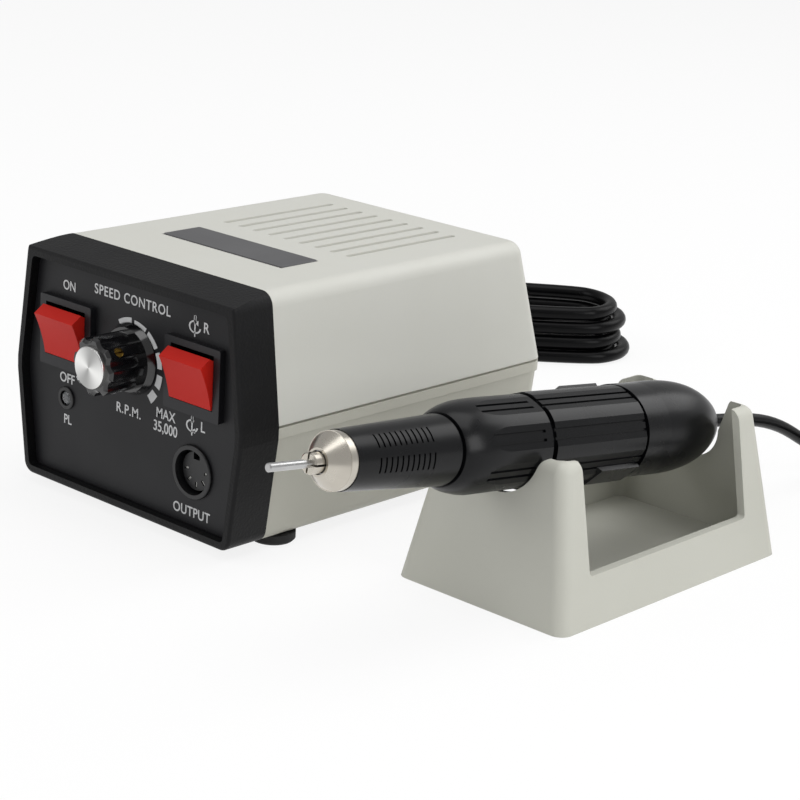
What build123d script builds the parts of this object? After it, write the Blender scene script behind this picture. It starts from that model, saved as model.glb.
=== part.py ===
from build123d import *
import math
import os

os.makedirs("parts", exist_ok=True)

# Sizes in millimetres. X runs to the viewer's right along the front panel,
# Y runs backwards from the panel, Z is up from the table.

# Control box casing
case_w = 102.0
case_top_w = 91.8
case_bottom_w = 93.6
case_depth = 136.0
case_rear_lean = 8.0
case_top_depth = case_depth - case_rear_lean
case_h = 78.6
foot_h = 3.0
foot_r = 7.0
foot_stud_r = 2.5
foot_inset_x = 11.0
foot_front_y = 25.0
foot_rear_y = 122.0
part_z = 40.0
part_gap = 0.8
ledge_h = 4.0
ledge_step = 0.8
wall = 2.4
case_corner_r = 6.0
case_top_r = 5.0
case_bottom_r = 4.0
overrun = 20.0

# Front bezel and panel
bezel_depth = 15.0
bezel_top_z = 76.0
rim_w = 2.6
rim_round = 1.0
bezel_top_r = 4.5
bezel_bottom_r = 4.0
panel_recess = 3.0
panel_t = 2.0
panel_ledge = 3.2
panel_fit = 0.15

# Name recess and cooling grooves in the cover
nameplate_w = 53.0
nameplate_l = 15.5
nameplate_y = 45.25
nameplate_t = 1.0
nameplate_sink = 0.7
groove_count = 9
groove_pitch = 6.83
groove_w = 2.0
groove_deep = 0.9
groove_front_y = 64.5
groove_rear_y = 114.0

# Case screws and their pillars
pillar_r = 4.0
pillar_x = 38.0
pillar_front_y = 35.5
pillar_rear_y = 112.0
screw_r = 1.5
screw_hole_fit = 0.2
screw_head_r = 2.9
screw_head_h = 2.0
screw_bite = 14.0
thread_fit = 0.03

# Rocker switches
switch_x = 28.6
switch_z = 51.3
switch_w = 23.8
switch_frame_h = 22.0
switch_proud = 2.2
switch_wall = 0.65
switch_slot_w = 17.9
switch_slot_h = 16.1
switch_deep = 22.0
switch_open_deep = 9.0
switch_tab_l = 6.0
switch_tab_w = 4.8
switch_tab_t = 0.8
rocker_clear = 0.25
rocker_tilt = 18.5
rocker_pivot_y = -0.6
rocker_half = 6.9
rocker_face = 4.4
rocker_dish = 0.5
rocker_shoulder = 0.3
rocker_shoulder_half = 8.1
rocker_lift = 0.65
rocker_under = 3.0
rocker_under_half = 4.5
rocker_pin_r = 1.0
rocker_pin_l = 1.0

# Speed control
knob_z = 50.3
knob_skirt_r = 11.0
knob_skirt_t = 2.0
knob_gap = 0.4
knob_body_r = 9.0
knob_face_y = 15.5
knob_flutes = 8
knob_flute_r = 2.6
knob_bevel = 0.9
knob_cap_r = 6.4
knob_cap_t = 1.2
setscrew_r = 1.5
setscrew_y = 11.2
setscrew_angle = 38.0
pot_r = 12.0
pot_t = 9.0
pot_bush_r = 4.5
pot_bush_l = 6.4
pot_nut_af = 11.0
pot_nut_t = 1.8
shaft_r = 3.0
shaft_front_y = 13.0
shaft_fit = 0.04

# Pilot lamp
lamp_x = -29.9
lamp_z = 30.6
lamp_ring_r = 3.6
lamp_ring_proud = 0.7
lamp_lens_r = 2.4
lamp_body_r = 3.0
lamp_body_l = 9.0

# Output socket, five contacts on a half circle under a keyway
socket_x = 28.3
socket_z = 22.4
socket_ring_r = 8.3
socket_ring_proud = 1.0
socket_bore_r = 6.85
socket_deep = 11.0
socket_wall = 1.0
insert_r = 5.9
insert_sink = 1.2
key_w = 2.6
key_h = 2.4
contact_ring_r = 4.2
contact_count = 5
contact_span = 180.0
contact_w = 1.7
contact_slot = 0.8
contact_deep = 8.0

# Rear panel: mains gland, hand or foot switch, foot jack, fuse
rear_row_z = 22.0
gland_x = -35.0
gland_z = 14.0
gland_r = 5.4
gland_hole_r = 4.4
gland_flange_t = 2.0
relief_l = 34.0
relief_tip_wall = 1.1
relief_nut_t = 3.0
mode_x = -15.0
mode_frame_w = 22.0
mode_frame_h = 9.0
mode_frame_t = 1.0
mode_body_w = 15.0
mode_body_h = 7.4
mode_body_l = 8.0
mode_slot_w = 9.2
mode_slot_h = 4.4
mode_knob_w = 5.0
mode_knob_h = 4.0
mode_knob_proud = 3.0
mode_knob_root = 4.0
mode_travel = 4.0
jack_x = 6.0
jack_bush_r = 5.6
jack_bore_r = 3.2
jack_bush_proud = 3.4
jack_nut_r = 7.5
jack_nut_t = 2.0
jack_body_w = 17.0
jack_body_share = 0.16
jack_body_l = case_depth * jack_body_share
jack_bore_l = 22.0
fuse_x = 26.5
fuse_flange_r = 8.0
fuse_flange_t = 2.0
fuse_body_r = 6.2
fuse_body_l = 30.0
fuse_nut_r = 8.4
fuse_nut_t = 3.0
fuse_cap_r = 5.4
fuse_cap_proud = 6.0
fuse_cap_root = 6.0
fuse_cap_slot_w = 1.2
fuse_cap_slot_deep = 1.5
fuse_r = 2.6
fuse_l = 20.0
fuse_fit = 0.1

# Transformer
core_w = 58.0
core_h = 48.0
core_stack_share = 0.19
core_stack = case_depth * core_stack_share
core_leg_share = 0.25
core_x = 0.0
core_y_share = 0.632
core_y = case_depth * core_y_share
core_gap = 0.3
winding_build = 8.0
winding_gap = 0.4
strap_t = 1.2
strap_foot = 9.0
strap_w = 18.0
mount_screw_r = 1.9
mount_head_r = 3.6
mount_head_h = 1.6
mount_boss_h = 5.0
mount_boss_r = 4.2

# Circuit board
board_w = 64.0
board_l_share = 0.235
board_l = case_depth * board_l_share
board_t = 1.6
board_y_share = 0.39
board_y = case_depth * board_y_share
board_z = 12.0
standoff_r = 2.8
standoff_inset = 4.0
board_screw_r = 1.4
board_head_r = 2.6
board_head_h = 1.4
cap_x = -20.0
cap_r = 8.0
cap_h = 25.0
cap_round = 1.0
rect_x = 0.0
rect_w = 11.0
rect_l = 7.0
rect_h = 13.0
sink_x = 18.0
sink_w = 20.0
sink_h = 22.0
sink_t = 2.0
sink_fins = 5
sink_fin_l = 9.0
sink_fin_t = 1.2
transistor_w = 10.0
transistor_h = 15.0
transistor_t = 4.4

# Cradle
cradle_x = 114.7
cradle_y = 32.3
cradle_w = 62.0
cradle_l = 104.4
cradle_h = 46.2
cradle_side_lean = 0.19
cradle_end_lean = 0.14
cradle_wall = 2.6
cradle_floor = 3.0
cradle_side_h = 14.1
cradle_open_front = 14.0
cradle_open_rear = 88.5
cradle_corner_r = 4.0
cradle_open_r = 1.2
cradle_horn_r = 4.2
cradle_flank = 14.6
cradle_lip_r = 3.5
cradle_seat = 0.3
cradle_step_w = 8.0
cradle_step_h = 0.9

# Handpiece, distances along its axis from the balance point, tail positive
hp_y = 40.0
hp_z = 46.9
hp_tilt = 7.5
pin_tip = -92.7
pin_root = -50.0
pin_r = 1.175
collet_front = -78.5
collet_head = -75.0
collet_tail = -52.0
collet_head_r = 2.9
collet_stem_r = 2.4
collet_slot_w = 0.6
collet_slot_end = -60.0
cone_front = -75.0
cone_step = -70.5
cone_rear = -68.0
cone_front_r = 3.8
cone_step_r = 7.7
cone_band_r = 7.9
cone_bore_r = 3.2
cone_spigot_r = 6.4
cone_spigot_end = -65.2
sleeve_front_r = 8.1
sleeve_rear = -29.8
sleeve_rear_r = 9.8
sleeve_seat_r = 6.5
sleeve_seat_end = -59.5
sleeve_bore_r = 5.2
grip_first = -60.2
grip_count = 11
grip_pitch = 2.0
grip_groove_w = 0.6
grip_groove_deep = 0.4
grip_arc = 28.0
grip_turns = (43.0, 89.0, 223.0, 269.0)
lock_front = -28.7
lock_rear = 5.2
lock_front_r = 10.2
lock_belly_at = -12.0
lock_belly_r = 13.4
lock_apothem = 12.95
lock_chamfer = 0.5
lock_groove_front = -20.0
lock_groove_end = 3.0
spigot_r = 9.2
spigot_bore_r = 7.4
lock_fit = 0.06
lip_l = 1.0
lip_r = 12.6
housing_front = 6.2
housing_rear = 48.0
housing_r = 13.8
housing_apothem = 13.35
housing_bore_r = 12.0
housing_web = 4.0
housing_groove_w = 0.8
housing_groove_deep = 0.45
housing_groove_pair = 2.6
housing_flats = 8
tab_front = 28.2
tab_rear = 47.6
tab_w = 8.0
tab_r = 14.2
tab_slope = 1.8
tab_turn = 135.0
cap_shell_r = 13.9
cap_front = 49.0
cap_straight = 60.0
cap_taper_r = 12.5
cap_taper_at = 82.0
cap_shoulder_r = 9.8
cap_shoulder_at = 89.5
cap_neck_r = 7.2
cap_neck_at = 93.7
cap_end = 96.2
cap_end_r = 4.4
cap_web_front = 70.0
cap_web_rear = 76.0
cap_inner_r = 11.0
cap_rear_inner_r = 7.5
boot_r = 3.1
boot_out = 1.5
boot_in = 6.0
spindle_front = -74.4
spindle_rear = -13.0
spindle_r = 3.0
spindle_bore_r = 2.45
nose_bearing_at = -64.9
spindle_bearing_l = 5.0
mid_bearing_at = -36.5
bearing_fit = 0.03
spring_front = -51.0
spring_l = 18.0
spring_wire = 0.7
spring_turns = 8
spring_r = 1.75
coupling_front = -14.5
coupling_l = 9.0
coupling_r = 4.6
motor_shaft_r = 1.5
motor_shaft_front = -11.0
motor_shaft_rear = 75.5
motor_bearing_r = 4.5
motor_bearing_l = 3.2
magnet_r = 9.4
magnet_front = 13.0
magnet_rear = 42.0
magnet_arc = 130.0
armature_r = 9.0
armature_front = 16.5
armature_rear = 38.5
armature_slots = 7
armature_slot_w = 1.2
armature_slot_deep = 3.0
winding_end_r = 7.2
winding_end_l = 3.0
comm_front = 45.0
comm_l = 8.0
comm_r = 4.0
comm_bars = 7
comm_slot_w = 0.4
brush_w = 3.0
brush_l = 4.0
brush_out_r = 8.0
brush_fit = 0.1

# Handpiece cord and its plug
shortest_run = 0.001
cord_d = 4.2
coil_run = 26.0
coil_turns = 4
coil_layers = 2
coil_outer_r = 30.2
coil_pitch = 4.8
coil_layer_h = 4.7
coil_y = 248.0
coil_tail = 22.0
lead_x = 115.0
lead_straight = 16.0
din_shell_r = 6.6
din_shell_l = 11.0
din_shell_t = 0.5
din_body_r = 7.9
din_body_l = 28.0
din_neck_r = 3.2
din_neck_l = 14.0
din_pin_r = 0.7
din_pin_l = 8.5

# Mains cord, its hank and plug
mains_d = 5.2
hank_run = 50.0
hank_turns = 2
hank_layers = 4
hank_outer_r = 20.6
hank_pitch = 5.8
hank_layer_h = 5.7
hank_setback = 1.2
hank_right_x = -37.5
hank_right_y = 264.0
hank_angle = 42.0
hank_tail = 84.0
plug_w = 35.3
plug_t = 13.7
plug_l = 28.0
plug_tail_r = 4.6
plug_tail_l = 22.0
plug_round = 4.0
plug_pin_r = 2.0
plug_pin_l = 19.0
plug_pin_gap = 18.6

# Places of the two stands in the part's own frame
sin_tilt = math.sin(math.radians(hp_tilt))
cos_tilt = math.cos(math.radians(hp_tilt))
left_edge = -case_w / 2
right_edge = cradle_x + cradle_w / 2
front_edge = hp_y + pin_tip * cos_tilt - pin_r * sin_tilt
rear_edge = case_depth + fuse_flange_t + fuse_cap_proud
bx = -(left_edge + right_edge) / 2
by = -(front_edge + rear_edge) / 2
cx = bx + cradle_x
cy = by + cradle_y
panel_y = by + panel_recess
panel_back = panel_y + panel_t
rear_face = by + case_depth
rear_inner = rear_face - wall


def facing(y):
    """Plane across the box at depth y: local x is X, local y is Z, normal towards the front."""
    return Plane.XZ.offset(-y)


def facing_back(y):
    """The same plane with its normal towards the rear: local x is -X, local y is Z."""
    return Plane(origin=(0, y, 0), x_dir=(-1, 0, 0), z_dir=(0, 1, 0))


def side(x):
    """Plane along the box at x: local x is Y, local y is Z."""
    return Plane.YZ.offset(x)


def finish(builder, name):
    builder.part.label = name
    export_step(builder.part, "parts/" + name + ".step")
    return builder.part


# The outline that the bezel and the panel share, as half of it from top to bottom
outline_half = [
    (case_top_w / 2, bezel_top_z),
    (case_w / 2, part_z),
    (case_w / 2, part_z - ledge_h),
    (case_bottom_w / 2, foot_h),
]
outline = [(bx + x, z) for x, z in outline_half] + [(bx - x, z) for x, z in reversed(outline_half)]
rear_outline = [(x, case_h if z == bezel_top_z else z) for x, z in outline]
feet_places = [
    (bx + sx * (case_w / 2 - foot_inset_x), by + y)
    for sx in (-1, 1)
    for y in (foot_front_y, foot_rear_y)
]
pillar_places = [(bx + sx * pillar_x, by + y) for sx in (-1, 1) for y in (pillar_front_y, pillar_rear_y)]

strap_out = core_w / 2 + core_gap + strap_t
mount_places = [(bx + core_x + sx * (strap_out + strap_foot / 2), by + core_y) for sx in (-1, 1)]

standoff_places = [
    (bx + sx * (board_w / 2 - standoff_inset), by + board_y + sy * (board_l / 2 - standoff_inset))
    for sx in (-1, 1)
    for sy in (-1, 1)
]

# Upper cover: a lid whose sides lean in, open at the front and below
with BuildPart() as upper_cover:
    with BuildSketch(Plane.XY.offset(part_z)):
        with Locations((bx, by + (case_depth - overrun) / 2)):
            RectangleRounded(case_w, case_depth + overrun, case_corner_r)
    with BuildSketch(Plane.XY.offset(case_h)):
        with Locations((bx, by + (case_top_depth - overrun) / 2)):
            RectangleRounded(case_top_w, case_top_depth + overrun, case_corner_r)
    loft()
    fillet(upper_cover.faces().sort_by(Axis.Z)[-1].edges(), case_top_r)
    with BuildSketch(Plane.XY.offset(part_z)):
        with Locations((bx, by + (case_depth - overrun) / 2)):
            RectangleRounded(case_w - 2 * wall, case_depth + overrun - 2 * wall, case_corner_r - wall)
    with BuildSketch(Plane.XY.offset(case_h - wall)):
        with Locations((bx, by + (case_top_depth - overrun) / 2)):
            RectangleRounded(case_top_w - 2 * wall, case_top_depth + overrun - 2 * wall, case_corner_r - wall)
    loft(mode=Mode.SUBTRACT)
    with BuildSketch(facing(by + bezel_depth)):
        with Locations((bx, case_h)):
            Rectangle(case_w + overrun, 2 * case_h)
    extrude(amount=bezel_depth + 2 * overrun, mode=Mode.SUBTRACT)
    with BuildSketch(Plane.XY.offset(case_h - groove_deep)):
        with Locations((bx, by + (groove_front_y + groove_rear_y) / 2)):
            with GridLocations(groove_pitch, groove_pitch, groove_count, 1):
                SlotOverall(groove_rear_y - groove_front_y, groove_w, rotation=90)
    extrude(amount=groove_deep + case_top_r, mode=Mode.SUBTRACT)
    with BuildSketch(Plane.XY.offset(case_h - nameplate_sink)):
        with Locations((bx, by + nameplate_y)):
            Rectangle(nameplate_w + 2 * panel_fit, nameplate_l + 2 * panel_fit)
    extrude(amount=nameplate_sink + case_top_r, mode=Mode.SUBTRACT)
    with BuildSketch(Plane.XY.offset(part_z)):
        with Locations(*pillar_places):
            Circle(pillar_r)
    extrude(amount=case_h - part_z - wall / 2)
    with BuildSketch(Plane.XY.offset(part_z)):
        with Locations(*pillar_places):
            Circle(screw_r + thread_fit)
    extrude(amount=screw_bite + overrun / 10, mode=Mode.SUBTRACT)
finish(upper_cover, "upper_cover")

# Lower case: a tray with an upright rear wall and the ledge band under the parting line
with BuildPart() as lower_case:
    with BuildSketch(Plane.XY.offset(foot_h)):
        with Locations((bx, by + (case_depth - overrun) / 2)):
            RectangleRounded(case_bottom_w, case_depth + overrun, case_corner_r)
    with BuildSketch(Plane.XY.offset(part_z - ledge_h)):
        with Locations((bx, by + (case_depth - overrun) / 2)):
            RectangleRounded(case_w - 2 * ledge_step, case_depth + overrun, case_corner_r)
    loft()
    fillet(lower_case.faces().sort_by(Axis.Z)[0].edges(), case_bottom_r)
    with BuildSketch(Plane.XY.offset(part_z - ledge_h)):
        with Locations((bx, by + (case_depth - overrun) / 2)):
            RectangleRounded(case_w, case_depth + overrun, case_corner_r)
    extrude(amount=ledge_h - part_gap)
    with BuildSketch(Plane.XY.offset(part_z - part_gap)):
        with Locations((bx, by + (case_depth - overrun) / 2)):
            RectangleRounded(case_w - wall, case_depth + overrun - wall, case_corner_r - wall / 2)
    extrude(amount=part_gap)
    with BuildSketch(Plane.XY.offset(foot_h + wall)):
        with Locations((bx, by + (case_depth - overrun) / 2)):
            RectangleRounded(case_bottom_w - 2 * wall, case_depth + overrun - 2 * wall, case_corner_r - wall)
    with BuildSketch(Plane.XY.offset(part_z)):
        with Locations((bx, by + (case_depth - overrun) / 2)):
            RectangleRounded(
                case_w - 2 * (ledge_step + wall), case_depth + overrun - 2 * wall, case_corner_r - wall
            )
    loft(mode=Mode.SUBTRACT)
    with BuildSketch(facing(by + bezel_depth)):
        with Locations((bx, case_h)):
            Rectangle(case_w + overrun, 2 * case_h)
    extrude(amount=bezel_depth + 2 * overrun, mode=Mode.SUBTRACT)
    with BuildSketch(Plane.XY.offset(foot_h + wall / 2)):
        with Locations(*pillar_places):
            Circle(pillar_r)
    extrude(amount=part_z - foot_h - wall / 2)
    with BuildSketch(Plane.XY.offset(foot_h)):
        with Locations(*pillar_places):
            Circle(screw_r + screw_hole_fit)
    extrude(amount=part_z, mode=Mode.SUBTRACT)
    with BuildSketch(Plane.XY.offset(foot_h)):
        with Locations(*pillar_places):
            Circle(screw_head_r + screw_hole_fit)
    extrude(amount=screw_head_h + screw_hole_fit, mode=Mode.SUBTRACT)
    with BuildSketch(Plane.XY.offset(foot_h)):
        with Locations(*feet_places):
            Circle(foot_stud_r + thread_fit)
    extrude(amount=wall * 2, mode=Mode.SUBTRACT)
    with BuildSketch(Plane.XY.offset(foot_h + wall / 2)):
        with Locations(*mount_places):
            Circle(mount_boss_r)
    extrude(amount=wall / 2 + mount_boss_h)
    with BuildSketch(Plane.XY.offset(foot_h + wall)):
        with Locations(*mount_places):
            Circle(mount_screw_r + thread_fit)
    extrude(amount=mount_boss_h, mode=Mode.SUBTRACT)
    with BuildSketch(Plane.XY.offset(foot_h + wall / 2)):
        with Locations(*standoff_places):
            Circle(standoff_r)
    extrude(amount=board_z - foot_h - wall / 2)
    with BuildSketch(Plane.XY.offset(foot_h + wall)):
        with Locations(*standoff_places):
            Circle(board_screw_r + thread_fit)
    extrude(amount=board_z, mode=Mode.SUBTRACT)
    with BuildSketch(facing(rear_face)):
        with Locations((bx + gland_x, gland_z)):
            Circle(gland_hole_r + thread_fit)
        with Locations((bx + mode_x, rear_row_z)):
            Rectangle(mode_body_w + 2 * panel_fit, mode_body_h + 2 * panel_fit)
        with Locations((bx + jack_x, rear_row_z)):
            Circle(jack_bush_r + thread_fit)
        with Locations((bx + fuse_x, rear_row_z)):
            Circle(fuse_body_r + thread_fit)
    extrude(amount=2 * wall, mode=Mode.SUBTRACT)
finish(lower_case, "lower_case")

# Four feet with studs through the floor
with BuildPart() as feet:
    with BuildSketch(Plane.XY):
        with Locations(*feet_places):
            Circle(foot_r)
    extrude(amount=foot_h)
    chamfer(feet.faces().sort_by(Axis.Z)[0].edges(), foot_h / 4)
    with BuildSketch(Plane.XY.offset(foot_h)):
        with Locations(*feet_places):
            Circle(foot_stud_r)
    extrude(amount=wall)
finish(feet, "feet")

# Case screws, from below into the cover's pillars
with BuildPart() as case_screws:
    with BuildSketch(Plane.XY.offset(foot_h + screw_hole_fit)):
        with Locations(*pillar_places):
            Circle(screw_head_r)
    extrude(amount=screw_head_h)
    with BuildSketch(Plane.XY.offset(foot_h + screw_head_h)):
        with Locations(*pillar_places):
            Circle(screw_r)
    extrude(amount=part_z + screw_bite - foot_h - screw_head_h)
finish(case_screws, "case_screws")

# Front bezel: an open frame whose rim stands forward of the panel
with BuildPart() as front_bezel:
    with BuildSketch(facing(by + bezel_depth)):
        Polygon(*rear_outline, align=None)
        fillet(vertices().group_by(Axis.Y)[-1], bezel_top_r)
        fillet(vertices().group_by(Axis.Y)[0], bezel_bottom_r)
    extrude(amount=bezel_depth)
    with BuildSketch(side(bx)):
        Polygon(
            (by, bezel_top_z),
            (by + bezel_depth, case_h),
            (by + bezel_depth, 2 * case_h),
            (by, 2 * case_h),
            align=None,
        )
    extrude(amount=case_w, both=True, mode=Mode.SUBTRACT)
    fillet(front_bezel.faces().sort_by(Axis.Y)[0].outer_wire().edges(), rim_round)
    with BuildSketch(facing(panel_back)):
        Polygon(*outline, align=None)
        offset(amount=-rim_w, kind=Kind.INTERSECTION)
        fillet(vertices().group_by(Axis.Y)[-1], bezel_top_r - rim_w)
        fillet(vertices().group_by(Axis.Y)[0], bezel_bottom_r - rim_w)
    extrude(amount=panel_t + panel_recess + overrun, mode=Mode.SUBTRACT)
    with BuildSketch(facing(by + bezel_depth)):
        Polygon(*outline, align=None)
        offset(amount=-rim_w - panel_ledge, kind=Kind.INTERSECTION)
    extrude(amount=bezel_depth, mode=Mode.SUBTRACT)
finish(front_bezel, "front_bezel")

# Front panel: a plate seated in the bezel, with a hole for each control
with BuildPart() as front_panel:
    with BuildSketch(facing(panel_back)):
        Polygon(*outline, align=None)
        offset(amount=-rim_w - panel_fit, kind=Kind.INTERSECTION)
        fillet(vertices().group_by(Axis.Y)[-1], bezel_top_r - rim_w)
        fillet(vertices().group_by(Axis.Y)[0], bezel_bottom_r - rim_w)
    extrude(amount=panel_t)
    with BuildSketch(facing(panel_back)):
        with Locations((bx - switch_x, switch_z), (bx + switch_x, switch_z)):
            Rectangle(switch_w - 2 * switch_wall, switch_frame_h - 2 * switch_wall)
        with Locations((bx, knob_z)):
            Circle(pot_bush_r + thread_fit)
        with Locations((bx + lamp_x, lamp_z)):
            Circle(lamp_body_r + thread_fit)
        with Locations((bx + socket_x, socket_z)):
            Circle(socket_bore_r + socket_wall + thread_fit)
    extrude(amount=panel_t, mode=Mode.SUBTRACT)
finish(front_panel, "front_panel")

# Name recess left bare
with BuildPart() as nameplate:
    with BuildSketch(Plane.XY.offset(case_h - nameplate_sink)):
        with Locations((bx, by + nameplate_y)):
            RectangleRounded(nameplate_w, nameplate_l, nameplate_t)
    extrude(amount=nameplate_t)
    chamfer(nameplate.faces().sort_by(Axis.Z)[-1].edges(), nameplate_t / 5)
finish(nameplate, "nameplate")


def switch_housing(x):
    """Rocker switch body behind the panel with a proud frame and three tabs."""
    with BuildPart() as body:
        with BuildSketch(facing(panel_y)):
            with Locations((x, switch_z)):
                RectangleRounded(switch_w, switch_frame_h, switch_wall)
        extrude(amount=switch_proud)
        with BuildSketch(facing(panel_y + switch_deep)):
            with Locations((x, switch_z)):
                Rectangle(
                    switch_w - 2 * switch_wall - 2 * panel_fit,
                    switch_frame_h - 2 * switch_wall - 2 * panel_fit,
                )
        extrude(amount=switch_deep)
        with BuildSketch(facing(panel_y + switch_open_deep)):
            with Locations((x, switch_z + rocker_lift)):
                Rectangle(switch_slot_w + 2 * rocker_clear, switch_slot_h + 2 * rocker_clear)
        extrude(amount=switch_open_deep + switch_proud, mode=Mode.SUBTRACT)
        with BuildSketch(side(x)):
            with Locations((panel_y + rocker_pivot_y, switch_z + rocker_lift)):
                Circle(rocker_pin_r + shaft_fit)
        extrude(amount=switch_slot_w / 2 + rocker_clear + rocker_pin_l, both=True, mode=Mode.SUBTRACT)
        with BuildSketch(facing_back(panel_y + switch_deep)):
            with Locations((-x, switch_z)):
                with GridLocations(1, switch_frame_h / 3, 1, 3):
                    Rectangle(switch_tab_w, switch_tab_t)
        extrude(amount=switch_tab_l)
    return body


power_switch_housing = switch_housing(bx - switch_x)
finish(power_switch_housing, "power_switch_housing")
direction_switch_housing = switch_housing(bx + switch_x)
finish(direction_switch_housing, "direction_switch_housing")


def rocker(x):
    """Rocker with a dished face, tipped so that its lower end is pressed in."""
    pivot = (x, panel_y + rocker_pivot_y, switch_z + rocker_lift)
    lean = math.radians(rocker_tilt)
    with BuildPart() as body:
        with BuildSketch(Plane(origin=pivot, x_dir=(0, math.cos(lean), math.sin(lean)), z_dir=(1, 0, 0))):
            with BuildLine():
                ThreePointArc(
                    (-rocker_face, rocker_half),
                    (rocker_dish - rocker_face, 0),
                    (-rocker_face, -rocker_half),
                )
                Polyline(
                    (-rocker_face, -rocker_half),
                    (-rocker_shoulder, -rocker_shoulder_half),
                    (rocker_under, -rocker_under_half),
                    (rocker_under, rocker_under_half),
                    (-rocker_shoulder, rocker_shoulder_half),
                    (-rocker_face, rocker_half),
                )
            make_face()
            Circle(rocker_pin_r)
        extrude(amount=switch_slot_w / 2, both=True)
        with BuildSketch(Plane(origin=pivot, x_dir=(0, 1, 0), z_dir=(1, 0, 0))):
            Circle(rocker_pin_r)
        extrude(amount=switch_slot_w / 2 + rocker_clear + rocker_pin_l / 2, both=True)
    return body


power_rocker = rocker(bx - switch_x)
finish(power_rocker, "power_rocker")
direction_rocker = rocker(bx + switch_x)
finish(direction_rocker, "direction_rocker")

# Speed knob: skirt, fluted body, bore for the shaft and room for the nut
with BuildPart() as speed_knob:
    with BuildSketch(facing(panel_y - knob_gap)):
        with Locations((bx, knob_z)):
            Circle(knob_skirt_r)
    extrude(amount=knob_skirt_t, taper=30)
    with BuildSketch(facing(panel_y - knob_gap - knob_skirt_t / 2)):
        with Locations((bx, knob_z)):
            Circle(knob_body_r)
            with PolarLocations(knob_body_r + knob_flute_r / 2, knob_flutes, setscrew_angle + 180 / knob_flutes):
                Circle(knob_flute_r, mode=Mode.SUBTRACT)
    extrude(amount=knob_face_y - knob_gap - knob_skirt_t / 2)
    chamfer(speed_knob.faces().sort_by(Axis.Y)[0].edges(), knob_bevel)
    with BuildSketch(facing(panel_y - knob_gap)):
        with Locations((bx, knob_z)):
            Circle(pot_nut_af / 2 * math.sqrt(4 / 3) + rocker_clear)
    extrude(amount=pot_nut_t + rocker_clear, mode=Mode.SUBTRACT)
    with BuildSketch(facing(panel_y)):
        with Locations((bx, knob_z)):
            Circle(shaft_r + thread_fit)
    extrude(amount=shaft_front_y + rocker_clear, mode=Mode.SUBTRACT)
    with BuildSketch(
        Plane(
            origin=(bx, panel_y - setscrew_y, knob_z),
            x_dir=(0, 1, 0),
            z_dir=(math.cos(math.radians(setscrew_angle)), 0, math.sin(math.radians(setscrew_angle))),
        )
    ):
        Circle(setscrew_r + thread_fit)
    extrude(amount=knob_skirt_r, mode=Mode.SUBTRACT)
finish(speed_knob, "speed_knob")

# Spun aluminium cap on the knob's face
with BuildPart() as knob_cap:
    with BuildSketch(facing(panel_y - knob_face_y)):
        with Locations((bx, knob_z)):
            Circle(knob_cap_r)
    extrude(amount=knob_cap_t)
    fillet(knob_cap.faces().sort_by(Axis.Y)[0].edges(), knob_cap_t / 3)
finish(knob_cap, "knob_cap")

# Brass set screw with a slot
with BuildPart() as knob_set_screw:
    with BuildSketch(
        Plane(
            origin=(bx, panel_y - setscrew_y, knob_z),
            x_dir=(0, 1, 0),
            z_dir=(math.cos(math.radians(setscrew_angle)), 0, math.sin(math.radians(setscrew_angle))),
        ).offset(shaft_r + thread_fit)
    ):
        Circle(setscrew_r)
    extrude(amount=knob_body_r - shaft_r - thread_fit - knob_bevel / 2)
    with BuildSketch(
        Plane(
            origin=(bx, panel_y - setscrew_y, knob_z),
            x_dir=(0, 1, 0),
            z_dir=(math.cos(math.radians(setscrew_angle)), 0, math.sin(math.radians(setscrew_angle))),
        ).offset(knob_body_r - 2 * knob_bevel)
    ):
        Rectangle(3 * setscrew_r, setscrew_r / 3)
    extrude(amount=knob_flute_r, mode=Mode.SUBTRACT)
finish(knob_set_screw, "knob_set_screw")

# Potentiometer with its threaded bush through the panel
with BuildPart() as potentiometer:
    with BuildSketch(facing_back(panel_back)):
        with Locations((-bx, knob_z)):
            Circle(pot_r)
            with Locations((0, -pot_r)):
                Rectangle(pot_r, pot_t)
    extrude(amount=pot_t)
    with BuildSketch(facing(panel_back)):
        with Locations((bx, knob_z)):
            Circle(pot_bush_r)
    extrude(amount=panel_t + pot_nut_t - thread_fit)
    with BuildSketch(facing(panel_back + pot_t)):
        with Locations((bx, knob_z)):
            Circle(shaft_r + shaft_fit)
    extrude(amount=pot_t + pot_bush_l, mode=Mode.SUBTRACT)
finish(potentiometer, "potentiometer")

with BuildPart() as potentiometer_shaft:
    with BuildSketch(facing(panel_back + pot_t)):
        with Locations((bx, knob_z)):
            Circle(shaft_r)
    extrude(amount=pot_t + panel_t + shaft_front_y)
finish(potentiometer_shaft, "potentiometer_shaft")

# Pilot lamp: dark ring with a clear lens
with BuildPart() as pilot_lamp_ring:
    with BuildSketch(facing(panel_y)):
        with Locations((bx + lamp_x, lamp_z)):
            Circle(lamp_ring_r)
    extrude(amount=lamp_ring_proud)
    fillet(pilot_lamp_ring.faces().sort_by(Axis.Y)[0].edges(), lamp_ring_proud / 2)
    with BuildSketch(facing(panel_y + lamp_body_l)):
        with Locations((bx + lamp_x, lamp_z)):
            Circle(lamp_body_r)
    extrude(amount=lamp_body_l)
    with BuildSketch(facing(panel_y + lamp_body_l)):
        with Locations((bx + lamp_x, lamp_z)):
            Circle(lamp_lens_r + thread_fit)
    extrude(amount=lamp_body_l + lamp_ring_proud, mode=Mode.SUBTRACT)
finish(pilot_lamp_ring, "pilot_lamp_ring")

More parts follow.
